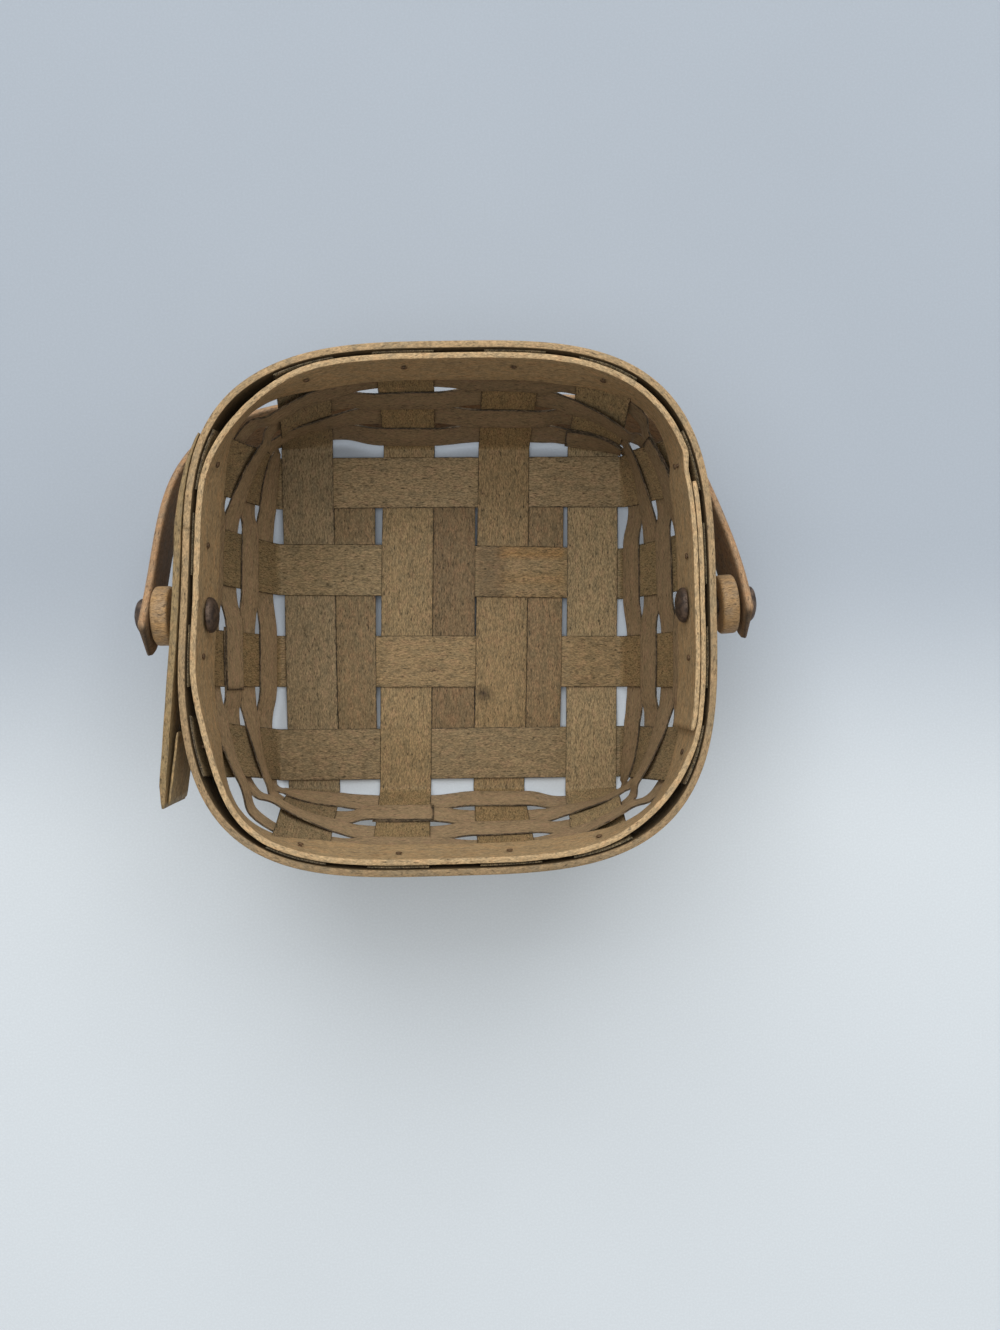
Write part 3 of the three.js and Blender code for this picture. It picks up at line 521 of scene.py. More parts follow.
def leg_rows(splint, side, across, level):
    """Rows of one upright from the floor bend to its top."""
    bend_top = level + FLOOR_BEND_RISE
    top = BASKET_HEIGHT - UPSPLINT_DROP
    heights = spaced(bend_top, top)[:, None]
    offset = -across if splint.lengthwise else across
    plan = leg_row(splint, side, heights, offset[None, :])
    wall = turned(plan[..., 0], plan[..., 1], heights)
    start = floor_point(splint, side * FLOOR_RUN, across, level)
    corner = floor_point(splint, side * FLOOR_HALF, across, level)
    steps = np.linspace(0, 1, BEND_STEPS + 1)[:-1, None, None]
    bend, _ = curve([start, corner, wall[0]], steps)
    return np.concatenate([bend, wall])


def upsplint_grid(splint, across):
    stretches = floor_crossings(splint)
    near = leg_rows(splint, -1, across, stretches[0][2])[::-1]
    far = leg_rows(splint, 1, across, stretches[-1][2])
    along = spaced(-FLOOR_RUN, FLOOR_RUN)[1:-1]
    levels = level_along(along, stretches)
    floor = floor_point(splint, along[:, None], across[None, :], levels[:, None])
    return np.concatenate([near, floor, far])


def filler_grid(index, shares):
    south = CROSSWISE[-1].floor_place() - HALF_SPLINT + FILLER_END_INSET
    north = CROSSWISE[0].floor_place() + HALF_SPLINT - FILLER_END_INSET
    y = spaced(south, north)
    over = FILLER_OVER_CROSS[index]
    crossings = sorted(crossing(cross.floor_place(), over == cross.index) for cross in CROSSWISE)
    levels = level_along(y, crossings)
    west, east = filler_edges(index, y)
    x = lerp(east[:, None], west[:, None], shares[None, :])
    return on_floor(x, y[:, None], levels[:, None])


# Weavers
def leg_station(number, z, along):
    """Plan points and directions of the wall at a leg, at heights z and distances along
    from its middle, anticlockwise. Past its edges the line runs straight on."""
    splint, side = LEGS[number % len(LEGS)]
    sign = -side if splint.lengthwise else side
    inner = np.clip(along, -HALF_SPLINT, HALF_SPLINT)
    ahead = np.clip(inner + DIRECTION_PROBE, -HALF_SPLINT, HALF_SPLINT)
    behind = np.clip(inner - DIRECTION_PROBE, -HALF_SPLINT, HALF_SPLINT)
    point = leg_row(splint, side, z, sign * inner)
    direction = unit(leg_row(splint, side, z, sign * ahead) - leg_row(splint, side, z, sign * behind))
    return point + direction * (along - inner)[..., None], direction


def span_stations(number, z, t, round_share):
    """Plan points and directions of the free span after a leg."""
    edge = HALF_SPLINT + WEAVER_EDGE_MARGIN
    start, start_way = leg_station(number, z, edge + 0 * z)
    end, end_way = leg_station(number + 1, z, -edge + 0 * z)
    reach = round_share * np.linalg.norm(end - start, axis=-1, keepdims=True)
    return curve([start, start + start_way * reach, end - end_way * reach, end], t[..., None])


def moved_out(point, direction, z, out):
    return turned(point[..., 0] + out * direction[..., 1], point[..., 1] - out * direction[..., 0], z)


def weaver_out(row, number, last):
    out = -LEAF_PITCH if (number + row) % 2 == 0 else LEAF_PITCH
    return out - (LEAF_PITCH if number == last else 0)


def corner_turn(number, along):
    """How far a weaver has turned upright on a leg: wholly at an edge next to a corner."""
    share = np.clip(along / UPSPLINT_WIDTH + 0.5, 0, 1)
    if number % LEGS_PER_WALL == 0:
        return np.sin((1 - share) * math.pi / 2)
    return np.sin(share * math.pi / 2) if (number + 1) % LEGS_PER_WALL == 0 else 0 * share


def weaver_pivot(point, out):
    """The edge on which a weaver turns upright: the lower one inside the legs and the
    upper one outside them."""
    return point[:, :1] if out < 0 else point[:, -1:]


def weaver_grid(row, heights):
    """heights are those of the strip's columns over its lower edge."""
    first = WEAVER_LAP_LEGS[row]
    last = first + len(LEGS)
    z = (WEAVER_START + row * WEAVER_PITCH + heights)[None, :]
    edge = HALF_SPLINT + WEAVER_EDGE_MARGIN
    over_leg = spaced(-edge, edge)[:, None]
    rows = []
    for number in range(first, last + 1):
        z_leg, along = np.broadcast_arrays(z, over_leg)
        point, direction = leg_station(number, z_leg, along)
        out = weaver_out(row, number, last)
        if row > 0:
            turn = CORNER_TWIST_SHARE * corner_turn(number, along)
            point = lerp(point, weaver_pivot(point, out), turn[..., None])
        rows.append(moved_out(point, direction, z_leg, out))
        if number == last:
            break
        at_corner = (number + 1) % LEGS_PER_WALL == 0
        steps = CORNER_STEPS if at_corner else SPAN_STEPS
        share = np.linspace(0, 1, steps + 2)[1:-1, None]
        z_span, t = np.broadcast_arrays(z, share)
        point, direction = span_stations(number, z_span, t, SPAN_ROUND_SHARES[row])
        next_out = weaver_out(row, number + 1, last)
        if at_corner and row == 0:
            middle = point[:, point.shape[1] // 2][:, None]
            twist = CORNER_TWIST_SHARE * np.sin(math.pi * share)
            point = lerp(point, middle, twist[..., None])
        elif at_corner:
            pivots = weaver_pivot(point, out), weaver_pivot(point, next_out)
            point = lerp(point, lerp(*pivots, smooth(share)[..., None]), CORNER_TWIST_SHARE)
        out = lerp(out, next_out, lerp(t, smooth(t), CROSSING_CURVE_SHARE))
        rows.append(moved_out(point, direction, z_span, out))
    return np.concatenate(rows)


# Bands
def band_fall(heights):
    """0 at the top of the bands and 1 at their foot."""
    return (BASKET_HEIGHT - heights) / BAND_HEIGHT


def band_grid(angles, out, heights):
    """Middle surface of a band, whose foot flares out at the corners."""
    flare = corner_sum(angles, CORNER_FLARES)[:, None] * band_fall(heights)[None, :]
    return wall_point(angles[:, None], heights[None, :], out + flare)


def inner_band_layers(angles):
    """Offset and thickness of the inner band, which starts as the inner layer of its lap,
    goes round and ends as the outer layer."""
    ease = INNER_LAP_EASE / RIM_HALF_X
    start = INNER_LAP_START
    end = INNER_LAP_END + FULL_TURN
    from_lap = rise(angles, INNER_LAP_END + ease / 3, INNER_LAP_END + ease)
    into_lap = rise(angles, start + FULL_TURN - ease, start + FULL_TURN - ease / 3)
    first = lerp(INNER_LAP_INNER_OUT, INNER_BAND_OUT, from_lap)
    second = lerp(INNER_BAND_OUT, INNER_LAP_OUTER_OUT, into_lap)
    out = np.where(angles > (start + end) / 2, second, first)
    full = np.clip(from_lap - into_lap, 0, 1)
    return out, lerp(INNER_LAP_THICKNESS, INNER_BAND_THICKNESS, full)


def inner_band_lean(angles, heights):
    """How far the inner band stands off the outer one: inwards at its top near the
    corners, and outwards at its foot."""
    fall = band_fall(heights)[None, :]
    stand_off = corner_sum(angles, CORNER_STAND_OFFS)[:, None] * (1 - fall)
    full = max(amount for _, amount, _ in CORNER_FLARES)
    press = INNER_FOOT_PRESS * corner_sum(angles, CORNER_FLARES)[:, None] / full * fall
    return press - stand_off


def free_lap_points(t, heights):
    """Middle surface of the free part of the lap, from where it leaves the band (0) to
    its end (1)."""
    out = RIM_STACK + LAP_STAND_OFF + LAP_THICKNESS / 2
    start = wall_point(LAP_LEAVE, heights[None, :], out)
    shift = np.stack([-LAP_SPRING * t, -LAP_FREE_LENGTH * t, 0 * t], -1)
    return start + shift[:, None, :]


def lap_grid(heights):
    """Middle surface and thickness of the sprung lap."""
    wall_length = (LAP_LEAVE - LAP_START) * RIM_HALF_X
    t = np.linspace(0, 1, int(wall_length / STEP))[:-1]
    thickness = lerp(LAP_TIP_THICKNESS, LAP_THICKNESS, np.clip(t * wall_length / LAP_SCARF_LENGTH, 0, 1))
    gap = lerp(SPLINT_GAP, LAP_STAND_OFF, smooth(t))
    wall_out = RIM_STACK + gap + thickness / 2
    wall = band_grid(lerp(LAP_START, LAP_LEAVE, t), wall_out[:, None], heights)
    free_t = np.linspace(0, 1, int(LAP_FREE_LENGTH / STEP))
    free = free_lap_points(free_t, heights)
    cut = np.clip(1 - (1 - free_t) * LAP_FREE_LENGTH / LAP_END_CHAMFER, 0, 1)
    free_thickness = lerp(LAP_THICKNESS, LAP_END_THICKNESS, cut)
    free[..., 0] += ((LAP_THICKNESS - free_thickness) / 2)[:, None]
    return np.concatenate([wall, free]), np.concatenate([thickness, free_thickness])


def tongue_grid(heights):
    open_share = np.linspace(1, 0, int(TONGUE_LENGTH / STEP))
    t = 1 - (TONGUE_END_INSET + open_share * TONGUE_LENGTH) / LAP_FREE_LENGTH
    grid = free_lap_points(t, heights)
    inset = LAP_THICKNESS / 2 + FIT_GAP + TONGUE_THICKNESS / 2 + TONGUE_SPREAD * open_share
    grid[..., 0] += inset[:, None]
    return grid


# Meshes
def column_places(width, step=COLUMN_STEP, depths=EDGE_DEPTHS, shares=EDGE_SHARES):
    """Distances across a strip from its middle, and the share of the full thickness at
    each, which falls off at the rounded edges."""
    half = width / 2
    inner = half - depths[-1]
    count = max(int(2 * inner / step), 3)
    middle = np.linspace(-inner, inner, count)[1:-1]
    left = -half + depths
    places = np.concatenate([left, middle, -left[::-1]])
    factors = np.concatenate([shares, np.ones(len(middle)), shares[::-1]])
    return places, factors


def strip_faces(rows, columns):
    """Quads of a closed strip. Its upper vertices come first, row by row."""
    top = np.arange(rows * columns).reshape(rows, columns)
    bottom = top + rows * columns
    last = columns - 1
    loops = [
        (top[:-1, :-1], top[1:, :-1], top[1:, 1:], top[:-1, 1:]),
        (bottom[:-1, :-1], bottom[:-1, 1:], bottom[1:, 1:], bottom[1:, :-1]),
        (top[:-1, 0], bottom[:-1, 0], bottom[1:, 0], top[1:, 0]),
        (top[:-1, last], top[1:, last], bottom[1:, last], bottom[:-1, last]),
        (top[0, :-1], top[0, 1:], bottom[0, 1:], bottom[0, :-1]),
        (top[-1, :-1], bottom[-1, :-1], bottom[-1, 1:], top[-1, 1:]),
    ]
    return np.concatenate([np.stack(corners, -1).reshape(-1, 4) for corners in loops]).tolist()


def surface_normals(grid):
    along = np.gradient(grid, axis=0)
    across = np.gradient(grid, axis=1)
    return unit(np.cross(unit(along), unit(across)))


def add_object(name, data):
    made = bpy.data.objects.new(name, data)
    bpy.context.scene.collection.objects.link(made)
    return made


def make_object(name, vertices, faces, material):
    mesh = bpy.data.meshes.new(name)
    mesh.from_pydata((vertices * MM).tolist(), [], faces)
    mesh.update()
    mesh.polygons.foreach_set("use_smooth", [True] * len(mesh.polygons))
    mesh.materials.append(material)
    return add_object(name, mesh)


def set_attribute(piece, name, kind, field, values):
    made = piece.data.attributes.new(name, kind, "POINT")
    made.data.foreach_set(field, np.asarray(values, np.float32).ravel())


def dress(piece, grain, tint, edge):
    """Gives a piece its straightened wood coordinates in mm, its tint and how near each
    vertex lies to an edge."""
    set_attribute(piece, "grain", "FLOAT_VECTOR", "vector", grain)
    colours = np.ones((len(grain), 4))
    colours[:, :3] = tint
    set_attribute(piece, "tint", "FLOAT_COLOR", "color", colours)
    set_attribute(piece, "edge", "FLOAT", "value", edge)


def assign(piece, body, slot, *nodes):
    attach(piece, body)
    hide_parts(*nodes)


def strip(name, grid, thickness, factors, seed, material, tint=1, warp=WARP, butted=False, sides=(1, 1)):
    """A closed bent strip over its middle surface. thickness is one number, one for each
    row or one for each vertex, and factors are the columns' shares of it. sides are
    factors of painted shade on its two faces."""
    rows, columns = grid.shape[:2]
    along = lengths_along(grid[:, columns // 2])
    across = lengths_along(grid[rows // 2])
    end_distance = np.minimum(along, along[-1] - along)
    side_distance = np.minimum(across, across[-1] - across)
    full = np.asarray(thickness, float)
    if full.ndim == 1:
        full = full[:, None]
    ends = np.ones(rows) if butted else np.interp(end_distance, EDGE_DEPTHS, EDGE_SHARES)
    depth = full * factors[None, :] * ends[:, None]
    normals = surface_normals(grid)
    long, wide, short = WARP_LENGTHS
    swell = warp * waves(along, seed, long)[:, None] * waves(across, seed + 1, wide)[None, :]
    swell = swell + warp * 0.5 * waves(along, seed + 2, short)[:, None]
    grid = grid + normals * swell[..., None]
    top = grid + normals * depth[..., None] / 2
    bottom = grid - normals * depth[..., None] / 2
    vertices = np.concatenate([top.reshape(-1, 3), bottom.reshape(-1, 3)])
    piece = make_object(name, vertices, strip_faces(rows, columns), material)
    u, v = np.meshgrid(along + GRAIN_STEPS[0] * seed, across + GRAIN_STEPS[1] * seed, indexing="ij")
    grain = [np.stack([u, v, sign * depth / 2], -1).reshape(-1, 3) for sign in (1, -1)]
    edge = np.exp(-np.minimum(end_distance[:, None], side_distance[None, :]) / EDGE_TONE_REACH).ravel()
    tints = np.broadcast_to(np.asarray(tint, float), (rows, columns, 3))
    # painted shade of each face, full from a little in from its side edges
    inland = np.clip(side_distance / FACE_PAINTED_SHADE_REACH, 0, 1)[None, :, None]
    both = [(tints * lerp(1, side, inland)).reshape(-1, 3) for side in sides]
    dress(piece, np.concatenate(grain), np.concatenate(both), np.tile(edge, 2))
    return piece


def leaf(node, slot, grid, factors, seed, material, tint):
    """One splint of the weave, in place of its modelled node."""
    piece = strip(f"{node}_splint", grid, LEAF_THICKNESS, factors, seed, material, tint)
    assign(piece, "basket", slot, node)


def turned_faces(profile, sides, closed):
    """Faces between the rings of a turned solid, as triangles where a ring is a point."""
    count = len(profile)
    index = np.arange(count * sides).reshape(count, sides).tolist()
    faces = []
    for a in range(count if closed else count - 1):
        b = (a + 1) % count
        for j in range(sides):
            k = (j + 1) % sides
            corners = [index[a][j], index[a][k], index[b][k], index[b][j]]
            if profile[a, 0] == 0:
                corners = [index[a][0], index[b][k], index[b][j]]
            elif profile[b, 0] == 0:
                corners = [index[a][j], index[a][k], index[b][0]]
            faces.append(corners)
    return faces


def turned_solid(name, profile, sides, origin, axis, material, seed, tint=1, dent=0.0):
    """A turned solid: profile holds (radius, height) pairs, from the axis or back to its
    own start."""
    profile = np.array(profile, float)
    closed = np.allclose(profile[0], profile[-1])
    if closed:
        profile = profile[:-1]
    axis = np.array(Vector(axis).normalized())
    side = unit(np.cross(axis, [0.0, 0.0, 1.0]))
    up = np.cross(side, axis)
    angles = np.arange(sides) * FULL_TURN / sides
    ring = np.cos(angles)[:, None] * side + np.sin(angles)[:, None] * up
    radii = profile[:, 0][:, None] * np.ones(sides)
    heights = profile[:, 1][:, None] * np.ones(sides)
    round_waves = waves(angles[None, :] * 5 + heights, seed, DENT_LENGTHS[0])
    bumps = dent * round_waves * waves(radii * 3 + angles[None, :], seed + 1, DENT_LENGTHS[1])
    heights = heights + np.where(radii > 0, bumps, 0)
    points = origin + ring[None] * radii[..., None] + axis * heights[..., None]
    faces = turned_faces(profile, sides, closed)
    used = sorted({corner for face in faces for corner in face})
    order = {old: new for new, old in enumerate(used)}
    faces = [[order[corner] for corner in face] for face in faces]
    piece = make_object(name, points.reshape(-1, 3)[used], faces, material)
    piece.data.set_sharp_from_angle(angle=SMOOTH_ANGLE)
    local = np.array([v.co for v in piece.data.vertices]) / MM - origin
    grain = np.stack([local @ axis, local @ side, local @ up], -1) + SOLID_GRAIN_STEP * seed
    radius = np.linalg.norm(local - np.outer(local @ axis, axis), axis=-1)
    edge = np.exp(-(profile[:, 0].max() - radius) / SOLID_EDGE_TONE_REACH)
    dress(piece, grain, tint, edge)
    return piece


# Materials
def linear(code):
    parts = [int(code[i:i + 2], 16) / 255 for i in (1, 3, 5)]
    return [part / 12.92 if part <= 0.04045 else ((part + 0.055) / 1.055) ** 2.4 for part in parts] + [1]


class Graph:
    """The nodes of one material, or of the world."""

    def __init__(self, owner):
        owner.use_nodes = True
        self.owner = owner
        self.tree = owner.node_tree
        self.tree.nodes.clear()

    def add(self, kind, inputs=None, **settings):
        made = self.tree.nodes.new("ShaderNode" + kind)
        for key, value in settings.items():
            setattr(made, key, value)
        for key, value in (inputs or {}).items():
            if isinstance(value, bpy.types.NodeSocket):
                self.tree.links.new(value, made.inputs[key])
            else:
                made.inputs[key].default_value = value
        return made

    def attribute(self, name, output):
        return self.add("Attribute", attribute_name=name).outputs[output]

    def maths(self, operation, *values):
        return self.add("Math", dict(enumerate(values)), operation=operation).outputs[0]

    def plus(self, a, b):
        return self.maths("ADD", a, b)

    def minus(self, a, b):
        return self.maths("SUBTRACT", a, b)

    def times(self, a, b):
        return self.maths("MULTIPLY", a, b)

    def vector_maths(self, operation, a, b):
        return self.add("VectorMath", {0: a, 1: b}, operation=operation).outputs[0]

    def ramp(self, value, low, high, at_low=0.0, at_high=1.0):
        """Smooth step of value from low to high."""
        inputs = {"Value": value, "From Min": low, "From Max": high, "To Min": at_low, "To Max": at_high}
        return self.add("MapRange", inputs, interpolation_type="SMOOTHSTEP").outputs["Result"]

    def noise(self, vector, scale, detail=3.0, roughness=0.55, output="Fac"):
        stretched = self.vector_maths("MULTIPLY", vector, scale)
        inputs = {"Vector": stretched, "Scale": 1.0, "Detail": detail, "Roughness": roughness}
        return self.add("TexNoise", inputs).outputs[output]

    def mix(self, factor, a, b, blend="MIX"):
        inputs = {0: factor, 6: a, 7: b}
        return self.add("Mix", inputs, data_type="RGBA", blend_type=blend).outputs[2]

    def shade(self, colour, factor):
        """Colour times a grey factor."""
        grey = self.add("CombineColor", {0: factor, 1: factor, 2: factor}).outputs[0]
        return self.mix(1.0, colour, grey, "MULTIPLY")

    def around(self, value, pattern, amount):
        """value plus amount times how far the pattern lies from its middle."""
        return self.plus(value, self.times(self.minus(pattern, 0.5), amount))

    def warped(self, vector, scale, reach):
        """Moves wood coordinates sideways by a slow noise, so that the grain wanders."""
        drift = self.noise(vector, scale, 2.0, output="Color")
        drift = self.vector_maths("SUBTRACT", drift, (0.5, 0.5, 0.5))
        return self.vector_maths("ADD", vector, self.vector_maths("MULTIPLY", drift, (0, reach, reach)))

    def bump(self, height, distance):
        inputs = {"Height": height, "Distance": distance * MM, "Strength": 1.0}
        return self.add("Bump", inputs).outputs[0]

    def finish(self, inputs):
        shader = self.add("BsdfPrincipled", inputs)
        self.add("OutputMaterial", {0: shader.outputs[0]})
        return self.owner


def wood(name, colour, warm, grey, fibre=1.0, age=0.3, edge_shade_and_dirt=0.5, edge_pale_and_highlight=0.0):
    """Old splint wood: fine fibres along the strip, short dark pores, pale flecks, small
    patches of warmer and greyer wood, edges darkened by dirt and painted contact shade,
    and edges paled as freshly cut wood with a painted highlight."""
    graph = Graph(bpy.data.materials.new(name))
    grain = graph.attribute("grain", "Vector")
    tint = graph.attribute("tint", "Color")
    edge = graph.attribute("edge", "Fac")
    bent = graph.warped(grain, (0.018, 0.05, 0.05), 3)
    bent = graph.warped(bent, (0.2, 0.4, 0.4), 0.5)
    bands = graph.noise(bent, (0.012, 0.42, 0.42), 3.0, 0.6)
    fibres = graph.noise(bent, (0.55, 1.8, 1.8), 2.0, 0.65)
    hairs = graph.noise(bent, (1.1, 3.4, 3.4), 2.0, 0.6)
    speck = graph.ramp(fibres, 0.36, 0.64, -1, 1)
    pore = graph.ramp(graph.noise(bent, (0.45, 1.9, 1.9), 1.0), 0.6, 0.7)
    fleck = graph.ramp(graph.noise(bent, (0.5, 2.1, 2.1), 1.0), 0.6, 0.7)
    hue = graph.noise(grain, (0.22, 0.4, 0.4), 3.0, 0.65)
    stains = graph.noise(grain, (0.07, 0.09, 0.2), 4.0, 0.65)
    grit = graph.noise(grain, (1.6, 1.6, 1.6), 2.0, 0.6)
    cut = graph.ramp(edge, 0.9, 0.985)

    base = graph.mix(graph.ramp(hue, 0.36, 0.5), linear(grey), linear(colour))
    base = graph.mix(graph.ramp(hue, 0.5, 0.66), base, linear(warm))
    base = graph.mix(1.0, base, tint, "MULTIPLY")
    value = graph.maths("MULTIPLY_ADD", speck, 0.19 * fibre, 1.0)
    value = graph.around(value, bands, 0.3 * fibre)
    value = graph.around(value, hairs, 2.1 * fibre)
    value = graph.around(value, stains, 1.1 * age)
    value = graph.plus(value, graph.times(fleck, 0.24 * fibre))
    value = graph.minus(value, graph.times(pore, 0.42))
    # painted contact shade and dirt: a dark line along every edge, broken up by the stains
    rim = graph.plus(graph.times(edge, 0.25), graph.ramp(edge, 0.62, 0.88))
    shade_and_dirt = graph.times(rim, graph.ramp(stains, 0.3, 0.65, 0.5, 1.0))
    value = graph.minus(value, graph.times(shade_and_dirt, edge_shade_and_dirt))
    # paler cut wood and a painted highlight along the very edge
    pale_and_highlight = graph.times(cut, graph.ramp(grit, 0.35, 0.65, edge_pale_and_highlight * 0.3, edge_pale_and_highlight * 1.7))
    value = graph.plus(value, pale_and_highlight)

    height = graph.minus(graph.times(fibres, 0.9), graph.times(pore, 0.8))
    height = graph.plus(height, graph.times(hairs, 0.5))
    return graph.finish({
        "Base Color": graph.shade(base, graph.maths("MAXIMUM", value, 0.12)),
        "Roughness": graph.ramp(fibres, 0.3, 0.7, 0.72, 0.54),
        "Specular IOR Level": 0.3,
        "Normal": graph.bump(height, WOOD_RELIEF),
    })


def tarnished_metal(name, colour, dark):
    """Old dark rivet metal with rubbed spots and small pits."""
    graph = Graph(bpy.data.materials.new(name))
    grain = graph.attribute("grain", "Vector")
    edge = graph.attribute("edge", "Fac")
    cloud = graph.noise(grain, (0.5, 0.5, 0.5), 4.0, 0.6)
    pits = graph.ramp(graph.noise(grain, (2.2, 2.2, 2.2), 3.0, 0.6), 0.56, 0.72)
    base = graph.mix(graph.ramp(cloud, 0.35, 0.65), linear(dark), linear(colour))
    value = graph.plus(graph.minus(1.0, graph.times(pits, 0.5)), graph.times(edge, 0.25))
    return graph.finish({
        "Base Color": graph.shade(base, value),
        "Metallic": 0.35,
        "Roughness": graph.ramp(cloud, 0.3, 0.7, 0.66, 0.5),
        "Normal": graph.bump(graph.minus(cloud, pits), METAL_RELIEF),
    })


def floor_paper(name):
    """Pale plain ground with faint unevenness."""
    graph = Graph(bpy.data.materials.new(name))
    place_at = graph.add("TexCoord").outputs["Object"]
    cloud = graph.noise(place_at, (9, 9, 9), 2.0)
    speckle = graph.ramp(graph.noise(place_at, (1300, 1300, 1300), 2.0), 0.35, 0.75)
    north = graph.add("SeparateXYZ", {0: place_at}).outputs["Y"]
    shade = graph.ramp(north, GROUND_SHADE_SOUTH * MM, GROUND_SHADE_NORTH * MM)
    base = graph.mix(shade, linear("#d9e0e5"), linear("#b0b9c3"))
    value = graph.around(graph.around(1.0, cloud, 0.06), speckle, 0.05)
    return graph.finish({
        "Base Color": graph.shade(base, value),
        "Roughness": 0.85,
        "Specular IOR Level": 0.2,
    })


UPSPLINT_WOOD = wood("upsplint_wood", "#8f7a57", "#957c5a", "#857353", edge_shade_and_dirt=0.65)
FILLER_WOOD = wood("filler_wood", "#826d4f", "#886e50", "#77664a")
WEAVER_WOOD = wood("weaver_wood", "#947e60", "#987e62", "#8b785b", fibre=0.7, age=0.35, edge_shade_and_dirt=0.75)
BAND_LOOK = {"fibre": 0.8, "edge_shade_and_dirt": 0.05}
INNER_BAND_WOOD = wood("inner_band_wood", "#b29770", "#b8976e", "#a48d6b", edge_pale_and_highlight=0.1, **BAND_LOOK)
OUTER_BAND_WOOD = wood("outer_band_wood", "#a98e68", "#b0926b", "#9d8766", edge_pale_and_highlight=0.15, **BAND_LOOK)
LAP_WOOD = wood("lap_wood", "#978059", "#a0835b", "#8c7858", edge_pale_and_highlight=0.1, **BAND_LOOK)
HANDLE_WOOD = wood("handle_wood", "#a68563", "#aa835d", "#9b8164", fibre=0.6, edge_shade_and_dirt=0.05,
                   edge_pale_and_highlight=0.05)
WASHER_WOOD = wood("washer_wood", "#ac8b62", "#b58f60", "#9c8262", fibre=0.7, edge_shade_and_dirt=0.1)
RIVET_METAL = tarnished_metal("rivet_metal", "#5d4c3f", "#3a2f28")
TACK_METAL = tarnished_metal("tack_metal", "#6b543c", "#493a2a")


# Pieces
def splint_tints(splint, colour, grid):
    """Colours of an upsplint: greyer tops, one splint with a dark and a golden patch, and
    one with a dark stain."""
    columns = grid.shape[1]
    x, _, z = grid[:, columns // 2].T
    top = np.clip((z - BASKET_HEIGHT + GREY_TOP_LENGTH) / GREY_TOP_LENGTH, 0, 1)[:, None]
    tint = np.array(colour) * lerp(np.ones(3), GREY_TOP, top)
    if splint.name == "crosswise_upsplint_2":
        tint = tint * lerp(np.ones(3), DARK_TINT, (rise(x, *DARK_START) * rise(x, *DARK_END))[:, None])
        streaks = np.random.default_rng(SEEDS["streaks"]).uniform(*GOLDEN_STREAKS, columns)
        golden = rise(x, *GOLDEN_START) * rise(x, *GOLDEN_END)
        golden = golden[:, None, None] * streaks[None, :, None]
        return tint[:, None] * lerp(np.ones(3), GOLDEN_TINT, golden)
    tint = np.repeat(tint[:, None], columns, axis=1)
    if splint.name == "lengthwise_upsplint_3":
        near = smooth(1 - np.linalg.norm(grid - STAIN_PLACE, axis=-1) / STAIN_REACH)
        tint = tint * lerp(1, STAIN_SHADE, near)[..., None]
    return tint


def make_upsplints():
    across, factors = column_places(UPSPLINT_WIDTH)
    for number, splint in enumerate(LENGTHWISE + CROSSWISE):
        grid = upsplint_grid(splint, across)
        tint = splint_tints(splint, SPLINT_TINTS[number], grid)
        leaf(splint.name, "upsplint", grid, factors, SEEDS["upsplint"] + number, UPSPLINT_WOOD, tint)


def make_fillers():
    places, factors = column_places(FILLER_WIDTH)
    for index, tint in enumerate(FILLER_TINTS):
        grid = filler_grid(index, places / FILLER_WIDTH + 0.5)
        seed = SEEDS["filler"] + index
        leaf(f"floor_filler_{index + 1}", "filler", grid, factors, seed, FILLER_WOOD, tint)


def weaver_painted_light(grid):
    """Painted light on the weavers of the west and south walls, and painted shade on those of the north
    one.
    """
    tint = 1
    for axis, sign, amount in [(0, -1, WEST_PAINTED_LIGHT), (1, -1, SOUTH_PAINTED_LIGHT), (1, 1, NORTH_PAINTED_SHADE)]:
        tint = tint + amount * rise(sign * grid[..., axis], *WALL_PAINTED_LIGHT_REACH)
    return tint[..., None]


def make_weavers():
    places, factors = column_places(WEAVER_WIDTH)
    for row in range(WEAVER_ROWS):
        grid = weaver_grid(row, places + WEAVER_WIDTH / 2)
        seed = SEEDS["weaver"] + row
        leaf(f"weaver_row_{row + 1}", "weaver", grid, factors, seed, WEAVER_WOOD, weaver_painted_light(grid))


def band_columns(height=BAND_HEIGHT):
    places, factors = column_places(height, BAND_COLUMN_STEP, BAND_DEPTHS, BAND_SHARES)
    return places + BAND_FOOT + BAND_HEIGHT / 2, factors


def make_inner_band():
    heights, factors = band_columns()
    angles = np.linspace(INNER_LAP_START, INNER_LAP_END + FULL_TURN, RIM_STEPS)
    out, thickness = inner_band_layers(angles)
    grid = band_grid(angles, out[:, None] + inner_band_lean(angles, heights), heights)
    # painted shade on the face against the outer band
    piece = strip("inner_band_hoop", grid, thickness, factors, SEEDS["inner_band"], INNER_BAND_WOOD,
                  sides=(BETWEEN_BANDS_PAINTED_SHADE, 1))
    assign(piece, "basket", "inner_band", "inner_band")


